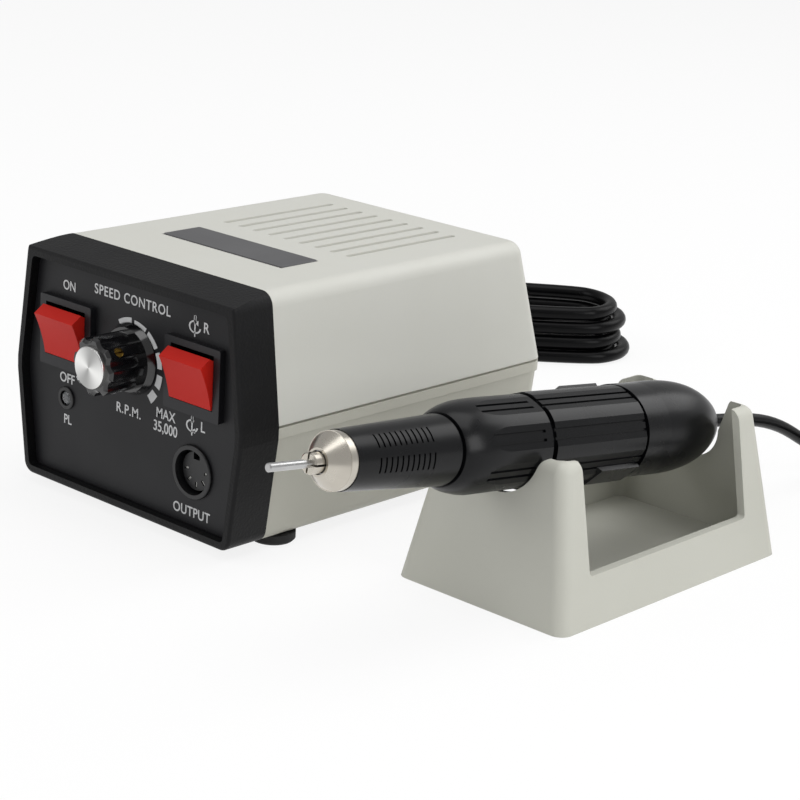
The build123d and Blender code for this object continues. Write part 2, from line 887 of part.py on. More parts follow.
with BuildPart() as pilot_lamp:
    with BuildSketch(facing(panel_y + lamp_body_l)):
        with Locations((bx + lamp_x, lamp_z)):
            Circle(lamp_lens_r)
    extrude(amount=lamp_body_l + lamp_ring_proud)
    fillet(pilot_lamp.faces().sort_by(Axis.Y)[0].edges(), lamp_lens_r * 2 / 3)
finish(pilot_lamp, "pilot_lamp")

# Output socket: ring and cup in the panel
with BuildPart() as output_socket:
    with BuildSketch(facing(panel_y)):
        with Locations((bx + socket_x, socket_z)):
            Circle(socket_ring_r)
    extrude(amount=socket_ring_proud)
    fillet(output_socket.faces().sort_by(Axis.Y)[0].edges(), socket_ring_proud / 2)
    with BuildSketch(facing(panel_y + socket_deep)):
        with Locations((bx + socket_x, socket_z)):
            Circle(socket_bore_r + socket_wall)
    extrude(amount=socket_deep)
    with BuildSketch(facing(panel_y + socket_deep - socket_wall)):
        with Locations((bx + socket_x, socket_z)):
            Circle(socket_bore_r)
    extrude(amount=socket_deep + socket_ring_proud, mode=Mode.SUBTRACT)
finish(output_socket, "output_socket")

# Socket insert with the keyway on top and five contact slots below
with BuildPart() as output_socket_insert:
    with BuildSketch(facing(panel_y + socket_deep - socket_wall)):
        with Locations((bx + socket_x, socket_z)):
            Circle(insert_r)
    extrude(amount=socket_deep - socket_wall - insert_sink)
    with BuildSketch(facing(panel_y + insert_sink + contact_deep)):
        with Locations((bx + socket_x, socket_z + insert_r - key_h / 2)):
            Rectangle(key_w, key_h)
        with Locations((bx + socket_x, socket_z)):
            with PolarLocations(
                contact_ring_r,
                contact_count,
                start_angle=180 + (180 - contact_span) / 2,
                angular_range=contact_span,
                endpoint=True,
            ):
                Rectangle(contact_w, contact_slot)
    extrude(amount=contact_deep, mode=Mode.SUBTRACT)
finish(output_socket_insert, "output_socket_insert")

# Mains strain relief: flange, neck through the wall, nut inside and a tapered sleeve
with BuildPart() as mains_strain_relief:
    with BuildSketch(facing_back(rear_face)):
        with Locations((-bx - gland_x, gland_z)):
            Circle(gland_r + gland_flange_t)
    extrude(amount=gland_flange_t)
    with BuildSketch(facing_back(rear_face - wall - relief_nut_t)):
        with Locations((-bx - gland_x, gland_z)):
            Circle(gland_hole_r)
    extrude(amount=wall + relief_nut_t)
    with BuildSketch(facing_back(rear_face - wall - relief_nut_t)):
        with Locations((-bx - gland_x, gland_z)):
            RegularPolygon(gland_hole_r + gland_flange_t, 6)
    extrude(amount=relief_nut_t)
    with BuildSketch(facing_back(rear_face + gland_flange_t)):
        with Locations((-bx - gland_x, gland_z)):
            Circle(gland_r)
    with BuildSketch(facing_back(rear_face + relief_l)):
        with Locations((-bx - gland_x, gland_z)):
            Circle(mains_d / 2 + relief_tip_wall)
    loft()
    with BuildSketch(facing_back(rear_face - wall - relief_nut_t)):
        with Locations((-bx - gland_x, gland_z)):
            Circle(mains_d / 2 + thread_fit)
    extrude(amount=wall + relief_nut_t + relief_l, mode=Mode.SUBTRACT)
finish(mains_strain_relief, "mains_strain_relief")

# Hand or foot slide switch
with BuildPart() as mode_switch_body:
    with BuildSketch(facing_back(rear_face)):
        with Locations((-bx - mode_x, rear_row_z)):
            RectangleRounded(mode_frame_w, mode_frame_h, mode_frame_t)
    extrude(amount=mode_frame_t)
    with BuildSketch(facing(rear_face)):
        with Locations((bx + mode_x, rear_row_z)):
            Rectangle(mode_body_w, mode_body_h)
    extrude(amount=mode_body_l)
    with BuildSketch(facing_back(rear_face - mode_knob_root - rocker_clear)):
        with Locations((-bx - mode_x, rear_row_z)):
            Rectangle(mode_slot_w, mode_slot_h)
    extrude(amount=mode_knob_root + rocker_clear + mode_frame_t, mode=Mode.SUBTRACT)
finish(mode_switch_body, "mode_switch_body")

with BuildPart() as mode_switch_knob:
    with BuildSketch(facing_back(rear_face - mode_knob_root)):
        with Locations((-bx - mode_x + mode_travel / 2, rear_row_z)):
            Rectangle(mode_knob_w, mode_knob_h)
    extrude(amount=mode_knob_root + mode_frame_t + mode_knob_proud)
    chamfer(mode_switch_knob.faces().sort_by(Axis.Y)[-1].edges(), mode_knob_h / 6)
finish(mode_switch_knob, "mode_switch_knob")

# Foot-control jack: bush through the wall, body inside, nut outside
with BuildPart() as foot_control_jack:
    with BuildSketch(facing(rear_inner)):
        with Locations((bx + jack_x, rear_row_z)):
            Rectangle(jack_body_w, jack_body_w)
    extrude(amount=jack_body_l)
    with BuildSketch(facing_back(rear_inner)):
        with Locations((-bx - jack_x, rear_row_z)):
            Circle(jack_bush_r)
    extrude(amount=wall + jack_bush_proud)
    with BuildSketch(facing(rear_face + jack_bush_proud)):
        with Locations((bx + jack_x, rear_row_z)):
            Circle(jack_bore_r)
    extrude(amount=jack_bore_l, mode=Mode.SUBTRACT)
finish(foot_control_jack, "foot_control_jack")

# Nuts of the potentiometer and of the jack
with BuildPart() as panel_nuts:
    with BuildSketch(facing(panel_y)):
        with Locations((bx, knob_z)):
            RegularPolygon(pot_nut_af / 2, 6, major_radius=False)
            Circle(pot_bush_r + thread_fit, mode=Mode.SUBTRACT)
    extrude(amount=pot_nut_t)
    with BuildSketch(facing_back(rear_face)):
        with Locations((-bx - jack_x, rear_row_z)):
            RegularPolygon(jack_nut_r, 6)
            Circle(jack_bush_r + thread_fit, mode=Mode.SUBTRACT)
    extrude(amount=jack_nut_t)
finish(panel_nuts, "panel_nuts")

# Fuse holder, its bayonet cap and the glass fuse
with BuildPart() as fuse_holder:
    with BuildSketch(facing_back(rear_face)):
        with Locations((-bx - fuse_x, rear_row_z)):
            Circle(fuse_flange_r)
    extrude(amount=fuse_flange_t)
    with BuildSketch(facing(rear_face)):
        with Locations((bx + fuse_x, rear_row_z)):
            Circle(fuse_body_r)
    extrude(amount=fuse_body_l)
    with BuildSketch(facing(rear_inner)):
        with Locations((bx + fuse_x, rear_row_z)):
            RegularPolygon(fuse_nut_r, 6)
    extrude(amount=fuse_nut_t)
    with BuildSketch(facing(rear_face + fuse_flange_t)):
        with Locations((bx + fuse_x, rear_row_z)):
            Circle(fuse_cap_r + shaft_fit)
    extrude(amount=fuse_cap_root + fuse_flange_t, mode=Mode.SUBTRACT)
    with BuildSketch(facing(rear_face)):
        with Locations((bx + fuse_x, rear_row_z)):
            Circle(fuse_r + fuse_fit)
    extrude(amount=fuse_l + fuse_cap_root / 2 + fuse_fit, mode=Mode.SUBTRACT)
finish(fuse_holder, "fuse_holder")

with BuildPart() as fuse_cap:
    with BuildSketch(facing_back(rear_face + fuse_flange_t - fuse_cap_root)):
        with Locations((-bx - fuse_x, rear_row_z)):
            Circle(fuse_cap_r)
    extrude(amount=fuse_cap_root + fuse_cap_proud)
    with BuildSketch(facing_back(rear_face + fuse_flange_t - fuse_cap_root)):
        with Locations((-bx - fuse_x, rear_row_z)):
            Circle(fuse_r + thread_fit)
    extrude(amount=fuse_cap_root / 2, mode=Mode.SUBTRACT)
    chamfer(fuse_cap.faces().sort_by(Axis.Y)[-1].edges(), fuse_cap_slot_w / 2)
    with BuildSketch(facing(rear_face + fuse_flange_t + fuse_cap_proud)):
        with Locations((bx + fuse_x, rear_row_z)):
            Rectangle(2 * fuse_cap_r + fuse_flange_t, fuse_cap_slot_w)
    extrude(amount=fuse_cap_slot_deep, mode=Mode.SUBTRACT)
finish(fuse_cap, "fuse_cap")

with BuildPart() as fuse:
    with BuildSketch(facing(rear_face + fuse_flange_t - fuse_cap_root / 2)):
        with Locations((bx + fuse_x, rear_row_z)):
            Circle(fuse_r)
    extrude(amount=fuse_l)
finish(fuse, "fuse")

# Transformer core: a stack of laminations with two windows
core_leg = core_w * core_leg_share / 2
core_base = foot_h + wall + mount_boss_h + core_gap
core_mid_z = core_base + core_h / 2
window_w = (core_w - 4 * core_leg) / 2
window_h = core_h - 2 * core_leg
with BuildPart() as transformer_core:
    with BuildSketch(facing(by + core_y + core_stack / 2)):
        with Locations((bx + core_x, core_mid_z)):
            Rectangle(core_w, core_h)
            with GridLocations(window_w + 2 * core_leg, 1, 2, 1):
                Rectangle(window_w, window_h, mode=Mode.SUBTRACT)
    extrude(amount=core_stack)
finish(transformer_core, "transformer_core")

with BuildPart() as transformer_winding:
    with BuildSketch(Plane.XY.offset(core_mid_z - window_h / 2 + winding_gap)):
        with Locations((bx + core_x, by + core_y)):
            RectangleRounded(
                2 * (core_leg + window_w - winding_gap), core_stack + 2 * winding_build, winding_build / 2
            )
            Rectangle(2 * (core_leg + thread_fit), core_stack + 2 * thread_fit, mode=Mode.SUBTRACT)
    extrude(amount=window_h - 2 * winding_gap)
finish(transformer_winding, "transformer_winding")

# Strap over the core with a foot on each side
strap_top = core_base + core_h + core_gap + strap_t
with BuildPart() as transformer_strap:
    with BuildSketch(facing(by + core_y + strap_w / 2)):
        with Locations((bx + core_x, core_base - core_gap)):
            Rectangle(2 * strap_out, strap_top - core_base + core_gap, align=(Align.CENTER, Align.MIN))
            Rectangle(2 * (strap_out + strap_foot), strap_t, align=(Align.CENTER, Align.MIN))
            Rectangle(
                2 * (strap_out - strap_t),
                strap_top - core_base + core_gap - strap_t,
                align=(Align.CENTER, Align.MIN),
                mode=Mode.SUBTRACT,
            )
    extrude(amount=strap_w)
    with BuildSketch(Plane.XY.offset(core_base - core_gap)):
        with Locations(*mount_places):
            Circle(mount_screw_r + thread_fit)
    extrude(amount=strap_t, mode=Mode.SUBTRACT)
    with BuildSketch(facing(by + core_y + core_stack / 2 + winding_build + strap_t)):
        with Locations((bx + core_x, core_base + core_h / 2)):
            Rectangle(2 * (core_leg + window_w), window_h)
    extrude(amount=core_stack + 2 * winding_build + 2 * strap_t, mode=Mode.SUBTRACT)
finish(transformer_strap, "transformer_strap")

# Circuit board on the four bosses of the floor
with BuildPart() as circuit_board:
    with BuildSketch(Plane.XY.offset(board_z)):
        with Locations((bx, by + board_y)):
            RectangleRounded(board_w, board_l, board_t)
        with Locations(*standoff_places):
            Circle(board_screw_r + thread_fit, mode=Mode.SUBTRACT)
    extrude(amount=board_t)
finish(circuit_board, "circuit_board")

# Screws of the transformer strap and of the board
with BuildPart() as chassis_screws:
    with BuildSketch(Plane.XY.offset(core_base - core_gap + strap_t)):
        with Locations(*mount_places):
            Circle(mount_head_r)
    extrude(amount=mount_head_h)
    with BuildSketch(Plane.XY.offset(foot_h + wall)):
        with Locations(*mount_places):
            Circle(mount_screw_r)
    extrude(amount=mount_boss_h + strap_t)
    with BuildSketch(Plane.XY.offset(board_z + board_t)):
        with Locations(*standoff_places):
            Circle(board_head_r)
    extrude(amount=board_head_h)
    with BuildSketch(Plane.XY.offset(foot_h + wall)):
        with Locations(*standoff_places):
            Circle(board_screw_r)
    extrude(amount=board_z + board_t - foot_h - wall)
finish(chassis_screws, "chassis_screws")

board_top = board_z + board_t
with BuildPart() as capacitor:
    with BuildSketch(Plane.XY.offset(board_top)):
        with Locations((bx + cap_x, by + board_y)):
            Circle(cap_r)
    extrude(amount=cap_h)
    fillet(capacitor.edges().group_by(Axis.Z)[-1], cap_round)
finish(capacitor, "capacitor")

with BuildPart() as heat_sink:
    with BuildSketch(Plane.XY.offset(board_top)):
        with Locations((bx + sink_x, by + board_y)):
            Rectangle(sink_w, sink_t, align=(Align.CENTER, Align.MAX))
            with GridLocations((sink_w - sink_fin_t) / (sink_fins - 1), 1, sink_fins, 1):
                Rectangle(sink_fin_t, sink_fin_l, align=(Align.CENTER, Align.MIN))
    extrude(amount=sink_h)
finish(heat_sink, "heat_sink")

# Rectifier block and power transistor
with BuildPart() as power_devices:
    with BuildSketch(Plane.XY.offset(board_top)):
        with Locations((bx + rect_x, by + board_y)):
            Rectangle(rect_w, rect_l)
    extrude(amount=rect_h)
    with BuildSketch(Plane.XY.offset(board_top)):
        with Locations((bx + sink_x, by + board_y - sink_t)):
            Rectangle(transistor_w, transistor_t, align=(Align.CENTER, Align.MAX))
    extrude(amount=transistor_h)
finish(power_devices, "power_devices")

# Handpiece axis: along the cradle, nose up
hp_dir = Vector(0, cos_tilt, -sin_tilt)
hp_home = Vector(cx, by + hp_y, hp_z)
hp_axis = Axis(hp_home, hp_dir)
hp_side = Plane(origin=hp_home, x_dir=hp_dir, z_dir=(1, 0, 0))


def across(t):
    """Plane square to the handpiece axis at distance t: local x is -X, local y is up."""
    return Plane(origin=hp_home + hp_dir * t, x_dir=(-1, 0, 0), z_dir=hp_dir)


def around(angle):
    """Plane through the handpiece axis whose local y points away from it at this angle from up."""
    turn = math.radians(angle)
    normal = (math.cos(turn), -sin_tilt * math.sin(turn), -cos_tilt * math.sin(turn))
    return Plane(origin=hp_home, x_dir=hp_dir, z_dir=normal)


# Cradle: one moulding, open on top, with tall end walls that hold the handpiece
cradle_mid = (cx, cy + cradle_l / 2)
cradle_top_w = cradle_w - 2 * cradle_side_lean * cradle_h
cradle_top_l = cradle_l - 2 * cradle_end_lean * cradle_h
front_seat_r = lock_belly_r + cradle_seat
rear_seat_r = cap_shoulder_r + cradle_seat
front_level = cradle_h - hp_z + cradle_seat
rear_level = cradle_h - hp_z + sin_tilt * cap_neck_at
with BuildPart() as cradle:
    with BuildSketch(Plane.XY):
        with Locations(cradle_mid):
            RectangleRounded(cradle_w, cradle_l, cradle_corner_r)
    with BuildSketch(Plane.XY.offset(cradle_h)):
        with Locations(cradle_mid):
            RectangleRounded(cradle_top_w, cradle_top_l, cradle_corner_r)
    loft()
    fillet(cradle.faces().sort_by(Axis.Z)[-1].edges(), cradle_horn_r)
    with BuildSketch(Plane.XY.offset(cradle_floor)):
        with Locations(cradle_mid):
            RectangleRounded(
                cradle_w - 2 * cradle_wall - 2 * cradle_side_lean * cradle_floor,
                cradle_l - 2 * cradle_wall - 2 * cradle_end_lean * cradle_floor,
                cradle_corner_r - cradle_wall / 2,
            )
    with BuildSketch(Plane.XY.offset(cradle_h)):
        with Locations(cradle_mid):
            RectangleRounded(
                cradle_top_w - 2 * cradle_wall, cradle_top_l - 2 * cradle_wall, cradle_corner_r - cradle_wall / 2
            )
    loft(mode=Mode.SUBTRACT)
    with BuildSketch(side(cx)):
        with Locations((cy + (cradle_open_front + cradle_open_rear) / 2, cradle_side_h)):
            Rectangle(
                cradle_open_rear - cradle_open_front, 2 * cradle_h, align=(Align.CENTER, Align.MIN)
            )
        fillet(vertices().group_by(Axis.Y)[0], cradle_open_r)
    extrude(amount=cradle_w, both=True, mode=Mode.SUBTRACT)
    with BuildSketch(across(lock_front)):
        Circle(front_seat_r)
        with Locations((0, front_level)):
            Rectangle(2 * cradle_w, cradle_h, align=(Align.CENTER, Align.MIN))
        fillet(vertices().sort_by(lambda corner: abs(corner.X))[:2], cradle_lip_r)
    extrude(amount=cradle_open_front - lock_front, mode=Mode.SUBTRACT)
    with BuildSketch(across(cap_taper_at)):
        Circle(rear_seat_r)
        with BuildLine():
            Polyline(
                (-rear_seat_r, 0),
                (rear_seat_r, 0),
                (cradle_flank, rear_level),
                (-cradle_flank, rear_level),
                (-rear_seat_r, 0),
            )
        make_face()
        with Locations((0, rear_level)):
            Rectangle(2 * cradle_w, cradle_h, align=(Align.CENTER, Align.MIN))
        fillet(vertices().sort_by(lambda corner: abs(corner.X))[2:4], cradle_lip_r)
    extrude(amount=cradle_l, mode=Mode.SUBTRACT)
finish(cradle, "cradle")


def turned(profile):
    """Solid of revolution about the handpiece axis from (distance, radius) points."""
    with BuildPart() as body:
        with BuildSketch(hp_side):
            Polygon(*profile, align=None)
        revolve(axis=hp_axis)
    return body


# Shank pin clamped in the chuck
with BuildPart() as shank_pin:
    with BuildSketch(across(pin_tip)):
        Circle(pin_r)
    extrude(amount=pin_root - pin_tip)
    chamfer(shank_pin.edges().sort_by(Axis.Y)[0], pin_r / 4)
finish(shank_pin, "shank_pin")

# Collet with a cross slot
with BuildPart() as collet:
    with BuildSketch(hp_side):
        Polygon(
            (collet_front, pin_r + thread_fit / 2),
            (collet_front, collet_head_r - pin_r / 3),
            (collet_front + pin_r / 3, collet_head_r),
            (collet_head, collet_head_r),
            (collet_head, collet_stem_r),
            (collet_tail, collet_stem_r),
            (collet_tail, pin_r + thread_fit / 2),
            align=None,
        )
    revolve(axis=hp_axis)
    with BuildSketch(across(collet_front)):
        Rectangle(3 * collet_head_r, collet_slot_w)
        Rectangle(collet_slot_w, 3 * collet_head_r)
    extrude(amount=collet_slot_end - collet_front, mode=Mode.SUBTRACT)
finish(collet, "collet")

# Nose cone with a step and a rim band
nose_cone = turned(
    [
        (cone_front, cone_bore_r),
        (cone_front, cone_front_r),
        (cone_step, cone_step_r),
        (cone_step, cone_band_r),
        (cone_rear, cone_band_r),
        (cone_rear, cone_spigot_r),
        (cone_spigot_end, cone_spigot_r),
        (cone_spigot_end, cone_bore_r),
    ]
)
finish(nose_cone, "nose_cone")

# Front sleeve with patches of grip grooves
sleeve_slope = (sleeve_rear_r - sleeve_front_r) / (sleeve_rear - cone_rear)
with BuildPart() as front_sleeve:
    with BuildSketch(hp_side):
        Polygon(
            (cone_rear, sleeve_seat_r),
            (cone_rear, sleeve_front_r),
            (sleeve_rear, sleeve_rear_r),
            (sleeve_rear, spigot_r),
            (lock_front - thread_fit, spigot_r),
            (lock_front - thread_fit, sleeve_bore_r),
            (sleeve_seat_end, sleeve_bore_r),
            (sleeve_seat_end, sleeve_seat_r),
            align=None,
        )
    revolve(axis=hp_axis)
    for grip_turn in grip_turns:
        with BuildSketch(around(grip_turn - grip_arc / 2)):
            for groove in range(grip_count):
                at = grip_first + groove * grip_pitch
                skin = sleeve_front_r + sleeve_slope * (at - cone_rear)
                with Locations((at, skin)):
                    Rectangle(grip_groove_w, 2 * grip_groove_deep)
        revolve(axis=hp_axis, revolution_arc=grip_arc, mode=Mode.SUBTRACT)
finish(front_sleeve, "front_sleeve")

# Angles of the paired grooves that run along the sleeve and the motor housing
groove_turns = [
    360 * (flat + 0.5) / housing_flats + math.degrees(offset_side * housing_groove_pair / 2 / housing_r)
    for flat in range(housing_flats)
    for offset_side in (-1, 1)
]

# Chuck-lock sleeve, swelling to its belly
with BuildPart() as lock_sleeve:
    with BuildSketch(hp_side):
        with BuildLine():
            Polyline(
                (lock_front, lock_front_r),
                (lock_front, spigot_r + lock_fit),
                (lock_rear, spigot_r + lock_fit),
                (lock_rear, lock_belly_r - lock_chamfer),
                (lock_rear - lock_chamfer, lock_belly_r),
                (lock_belly_at, lock_belly_r),
            )
            Bezier(
                (lock_belly_at, lock_belly_r),
                (lock_belly_at - (lock_belly_at - lock_front) / 2, lock_belly_r),
                (
                    lock_front + (lock_belly_at - lock_front) / 6,
                    lock_front_r + (lock_belly_r - lock_front_r) * 2 / 3,
                ),
                (lock_front, lock_front_r),
            )
        make_face()
    revolve(axis=hp_axis)
    with BuildSketch(across(lock_front)):
        Circle(2 * housing_r)
        RegularPolygon(lock_apothem, housing_flats, major_radius=False, mode=Mode.SUBTRACT)
    extrude(amount=lock_rear - lock_front, mode=Mode.SUBTRACT)
    with BuildSketch(across(lock_groove_front)):
        for groove_turn in groove_turns:
            with Locations(Location((0, 0, 0), (0, 0, 1), groove_turn)):
                with Locations((lock_belly_r, 0)):
                    Rectangle(2 * (lock_belly_r - lock_apothem + housing_groove_deep), housing_groove_w)
    extrude(amount=lock_rear - lock_groove_end - lock_groove_front, mode=Mode.SUBTRACT)
finish(lock_sleeve, "lock_sleeve")

# Motor housing: spigot for the lock sleeve, then an eight-sided shell
with BuildPart() as motor_housing:
    with BuildSketch(hp_side):
        Polygon(
            (lock_front, spigot_bore_r),
            (lock_front, spigot_r),
            (housing_front - lip_l + thread_fit, spigot_r),
            (housing_front - lip_l + thread_fit, lip_r),
            (housing_front, lip_r),
            (housing_front, housing_r),
            (housing_rear, housing_r),
            (housing_rear, housing_bore_r),
            (housing_front + housing_web, housing_bore_r),
            (housing_front + housing_web, motor_bearing_r + bearing_fit),
            (housing_front, motor_bearing_r + bearing_fit),
            (housing_front, spigot_bore_r),
            align=None,
        )
    revolve(axis=hp_axis)
    with BuildSketch(across(housing_front)):
        Circle(2 * housing_r)
        RegularPolygon(housing_apothem, housing_flats, major_radius=False, mode=Mode.SUBTRACT)
    extrude(amount=housing_rear - housing_front, mode=Mode.SUBTRACT)
    with BuildSketch(across(housing_front - lip_l)):
        for groove_turn in groove_turns:
            with Locations(Location((0, 0, 0), (0, 0, 1), groove_turn)):
                with Locations((housing_r, 0)):
                    Rectangle(2 * (housing_r - housing_apothem + housing_groove_deep), housing_groove_w)
    extrude(amount=housing_rear - housing_front + 2 * lip_l, mode=Mode.SUBTRACT)
    for tab_side in (tab_turn, tab_turn - 180):
        with BuildSketch(around(tab_side)):
            Polygon(
                (tab_front, lip_r),
                (tab_front + tab_slope, tab_r),
                (tab_rear, tab_r),
                (tab_rear, lip_r),
                align=None,
            )
        extrude(amount=tab_w / 2, both=True)
finish(motor_housing, "motor_housing")

# Rear cap: straight shell, then a dome with the cord's way out
with BuildPart() as rear_cap:
    with BuildSketch(hp_side):
        with BuildLine():
            Polyline(
                (cap_end, cap_end_r),
                (cap_end, boot_r + thread_fit),
                (cap_web_rear, boot_r + thread_fit),
                (cap_web_rear, motor_bearing_r + bearing_fit),
                (cap_web_front, motor_bearing_r + bearing_fit),
                (cap_web_front, cap_inner_r),
                (housing_rear, cap_inner_r),
                (housing_rear, lip_r),
                (cap_front, lip_r),
                (cap_front, cap_shell_r),
                (cap_straight, cap_shell_r),
            )
            Spline(
                (cap_straight, cap_shell_r),
                (cap_taper_at, cap_taper_r),
                (cap_shoulder_at, cap_shoulder_r),
                (cap_neck_at, cap_neck_r),
                (cap_end, cap_end_r),
            )
        make_face()
    revolve(axis=hp_axis)
finish(rear_cap, "rear_cap")

# Boot where the cord leaves the dome
cord_boot = turned(
    [
        (cap_end - boot_in, cord_d / 2 + thread_fit),
        (cap_end - boot_in, boot_r),
        (cap_end + boot_out / 2, boot_r),
        (cap_end + boot_out, boot_r - boot_out / 3),
        (cap_end + boot_out, cord_d / 2 + thread_fit),
    ]
)
finish(cord_boot, "cord_boot")

# Hollow spindle round the collet
spindle = turned(
    [
        (spindle_front, spindle_bore_r),
        (spindle_front, spindle_r),
        (spindle_rear, spindle_r),
        (spindle_rear, motor_shaft_r + thread_fit),
        (spring_front + spring_l + spring_wire, motor_shaft_r + thread_fit),
        (spring_front + spring_l + spring_wire, spindle_bore_r),
    ]
)
finish(spindle, "spindle")
# Ball bearings: two round the spindle, two round the motor shaft
bearing_sizes = [
    (nose_bearing_at, spindle_bearing_l, spindle_r, sleeve_seat_r - bearing_fit),
    (mid_bearing_at, spindle_bearing_l, spindle_r, sleeve_bore_r - bearing_fit),
    (housing_front, motor_bearing_l, motor_shaft_r, motor_bearing_r),
    (cap_web_front + lip_l, motor_bearing_l, motor_shaft_r, motor_bearing_r),
]
with BuildPart() as ball_bearings:
    with BuildSketch(hp_side):
        for front, length, inner, outer in bearing_sizes:
            Polygon(
                (front, inner + bearing_fit),
                (front + length, inner + bearing_fit),
                (front + length, outer),
                (front, outer),
                align=None,
            )
    revolve(axis=hp_axis)
finish(ball_bearings, "ball_bearings")

# Drive coupling between the spindle and the motor shaft
coupling = turned(
    [
        (coupling_front, spindle_r + bearing_fit),
        (coupling_front, coupling_r),
        (coupling_front + coupling_l, coupling_r),
        (coupling_front + coupling_l, motor_shaft_r + thread_fit),
        (spindle_rear + thread_fit, motor_shaft_r + thread_fit),
        (spindle_rear + thread_fit, spindle_r + bearing_fit),
    ]
)
finish(coupling, "drive_coupling")

# Motor: shaft with its armature, then commutator, magnets and brushes
with BuildPart() as armature:
    with BuildSketch(across(armature_front)):
        Circle(armature_r)
        with PolarLocations(armature_r - armature_slot_deep / 2, armature_slots):
            Rectangle(armature_slot_deep, armature_slot_w, mode=Mode.SUBTRACT)
    extrude(amount=armature_rear - armature_front)
    with BuildSketch(across(armature_front - winding_end_l)):
        Circle(winding_end_r)
    extrude(amount=armature_rear - armature_front + 2 * winding_end_l)
    with BuildSketch(across(motor_shaft_front)):
        Circle(motor_shaft_r)
    extrude(amount=motor_shaft_rear - motor_shaft_front)
finish(armature, "armature")

with BuildPart() as commutator:
    with BuildSketch(across(comm_front)):
        Circle(comm_r)
        with PolarLocations(comm_r, comm_bars):
            Rectangle(comm_slot_w * 2, comm_slot_w, mode=Mode.SUBTRACT)
        Circle(motor_shaft_r + thread_fit, mode=Mode.SUBTRACT)
    extrude(amount=comm_l)
finish(commutator, "commutator")

with BuildPart() as motor_magnets:
    for half in (0, 1):
        with BuildSketch(around(180 * half - magnet_arc / 2)):
            Polygon(
                (magnet_front, magnet_r),
                (magnet_front, housing_bore_r - bearing_fit),
                (magnet_rear, housing_bore_r - bearing_fit),
                (magnet_rear, magnet_r),
                align=None,
            )
        revolve(axis=hp_axis, revolution_arc=magnet_arc)
finish(motor_magnets, "motor_magnets")

with BuildPart() as brushes:
    with BuildSketch(across(comm_front + (comm_l - brush_l) / 2)):
        with GridLocations(comm_r + brush_fit + brush_out_r, 1, 2, 1):
            Rectangle(brush_out_r - comm_r - brush_fit, brush_w)
    extrude(amount=brush_l)
finish(brushes, "brushes")

# Draw spring behind the collet
with BuildPart() as collet_spring:
    with BuildLine() as spring_line:
        Helix(
            pitch=(spring_l - spring_wire) / spring_turns,
            height=spring_l - 2 * spring_wire,
            radius=spring_r,
            center=tuple(hp_home + hp_dir * (spring_front + spring_wire)),
            direction=tuple(hp_dir),
        )
    with BuildSketch(Plane(origin=spring_line.line @ 0, z_dir=spring_line.line % 0)):
        Circle(spring_wire / 2)
    sweep(path=spring_line.line)
finish(collet_spring, "collet_spring")


def corner_radii(points, share=0.45):
    """Largest tidy radius at each inner point: a share of its shorter run over the tangent of half the turn."""
    radii = []
    for before, here, after in zip(points, points[1:], points[2:]):
        inward = Vector(*here) - Vector(*before)
        outward = Vector(*after) - Vector(*here)
        half_turn = math.radians(inward.get_angle(outward)) / 2
        radii.append(share * min(inward.length, outward.length) / math.tan(half_turn))
    return radii


def hank(start_run, turns, layers, outer_r, pitch, layer_h, low_z, setback):
    """Points and corner radii of a wound cord, in its own frame with the runs along X.

    Each layer winds in or out by one pitch a turn, and the climb to the next layer is along a run.
    """
    points = []
    radii = []
    ends = [outer_r - pitch * turn for turn in range(turns)]
    left = -start_run / 2
    flat = start_run / 5

    def half_turn(x, y_from, y_to, z, sign):
        reach = abs(y_to - y_from) / 2
        points.append((x + sign * reach, y_from, z))
        points.append((x + sign * reach, y_to, z))
        radii.extend([reach] * 2)

    for layer in range(layers):
        z = low_z + layer * layer_h
        right = start_run / 2 - setback * layer
        inward = layer % 2 == 0
        order = ends if inward else ends[::-1]
        if not inward:
            half_turn(left, -order[0], order[0], z, -1)
        for here, after in zip(order, order[1:] + [None]):
            if inward:
                half_turn(right, here, -here, z, 1)
                if after is not None:
                    half_turn(left, -here, after, z, -1)
            elif after is not None:
                half_turn(right, here, -after, z, 1)
                if after != ends[0] or layer + 1 < layers:
                    half_turn(left, -after, after, z, -1)
        if layer + 1 < layers:
            y = -order[-1] if inward else order[-1]
            begin, stop = (right, left) if inward else (left, right - setback)
            step = flat if stop > begin else -flat
            climb = [(begin + step, y, z), (stop - step, y, z + layer_h)]
            slope = math.atan2(layer_h, abs(stop - begin) - 2 * flat)
            points.extend(climb)
            radii.extend([0.45 * flat / math.tan(slope / 2)] * 2)
    return points, radii


def least_gap(wire, diameter, step):
    """Least distance between stretches of a cord that are more than a turn's quarter apart along it."""
    count = int(wire.length / step)
    places = [wire.position_at(index / count) for index in range(count + 1)]
    skip = int(3 * diameter / step)
    cells = {}
    least = None
    for index, place in enumerate(places):
        key = tuple(int(part // (2 * diameter)) for part in place)
        for dx in (-1, 0, 1):
            for dy in (-1, 0, 1):
                for dz in (-1, 0, 1):
                    for other in cells.get((key[0] + dx, key[1] + dy, key[2] + dz), ()):
                        if index - other > skip:
                            gap = (place - places[other]).length - diameter
                            least = gap if least is None else min(least, gap)
        cells.setdefault(key, []).append(index)
    return least


def rounded_route(points, radii):
    """Straight runs joined by tangent arcs, one arc at each inner point."""
    here = Vector(*points[0])
    for before, corner, after, radius in zip(points, points[1:], points[2:], radii):
        corner = Vector(*corner)
        inward = (corner - Vector(*before)).normalized()
        outward = (Vector(*after) - corner).normalized()
        half_turn = math.radians(inward.get_angle(outward)) / 2
        reach = radius * math.tan(half_turn)
        begin = corner - inward * reach
        middle = corner + (outward - inward).normalized() * radius * (1 / math.cos(half_turn) - 1)
        if (begin - here).length > shortest_run:
            Line(here, begin)
        here = corner + outward * reach
        ThreePointArc(begin, middle, here)
    Line(here, Vector(*points[-1]))


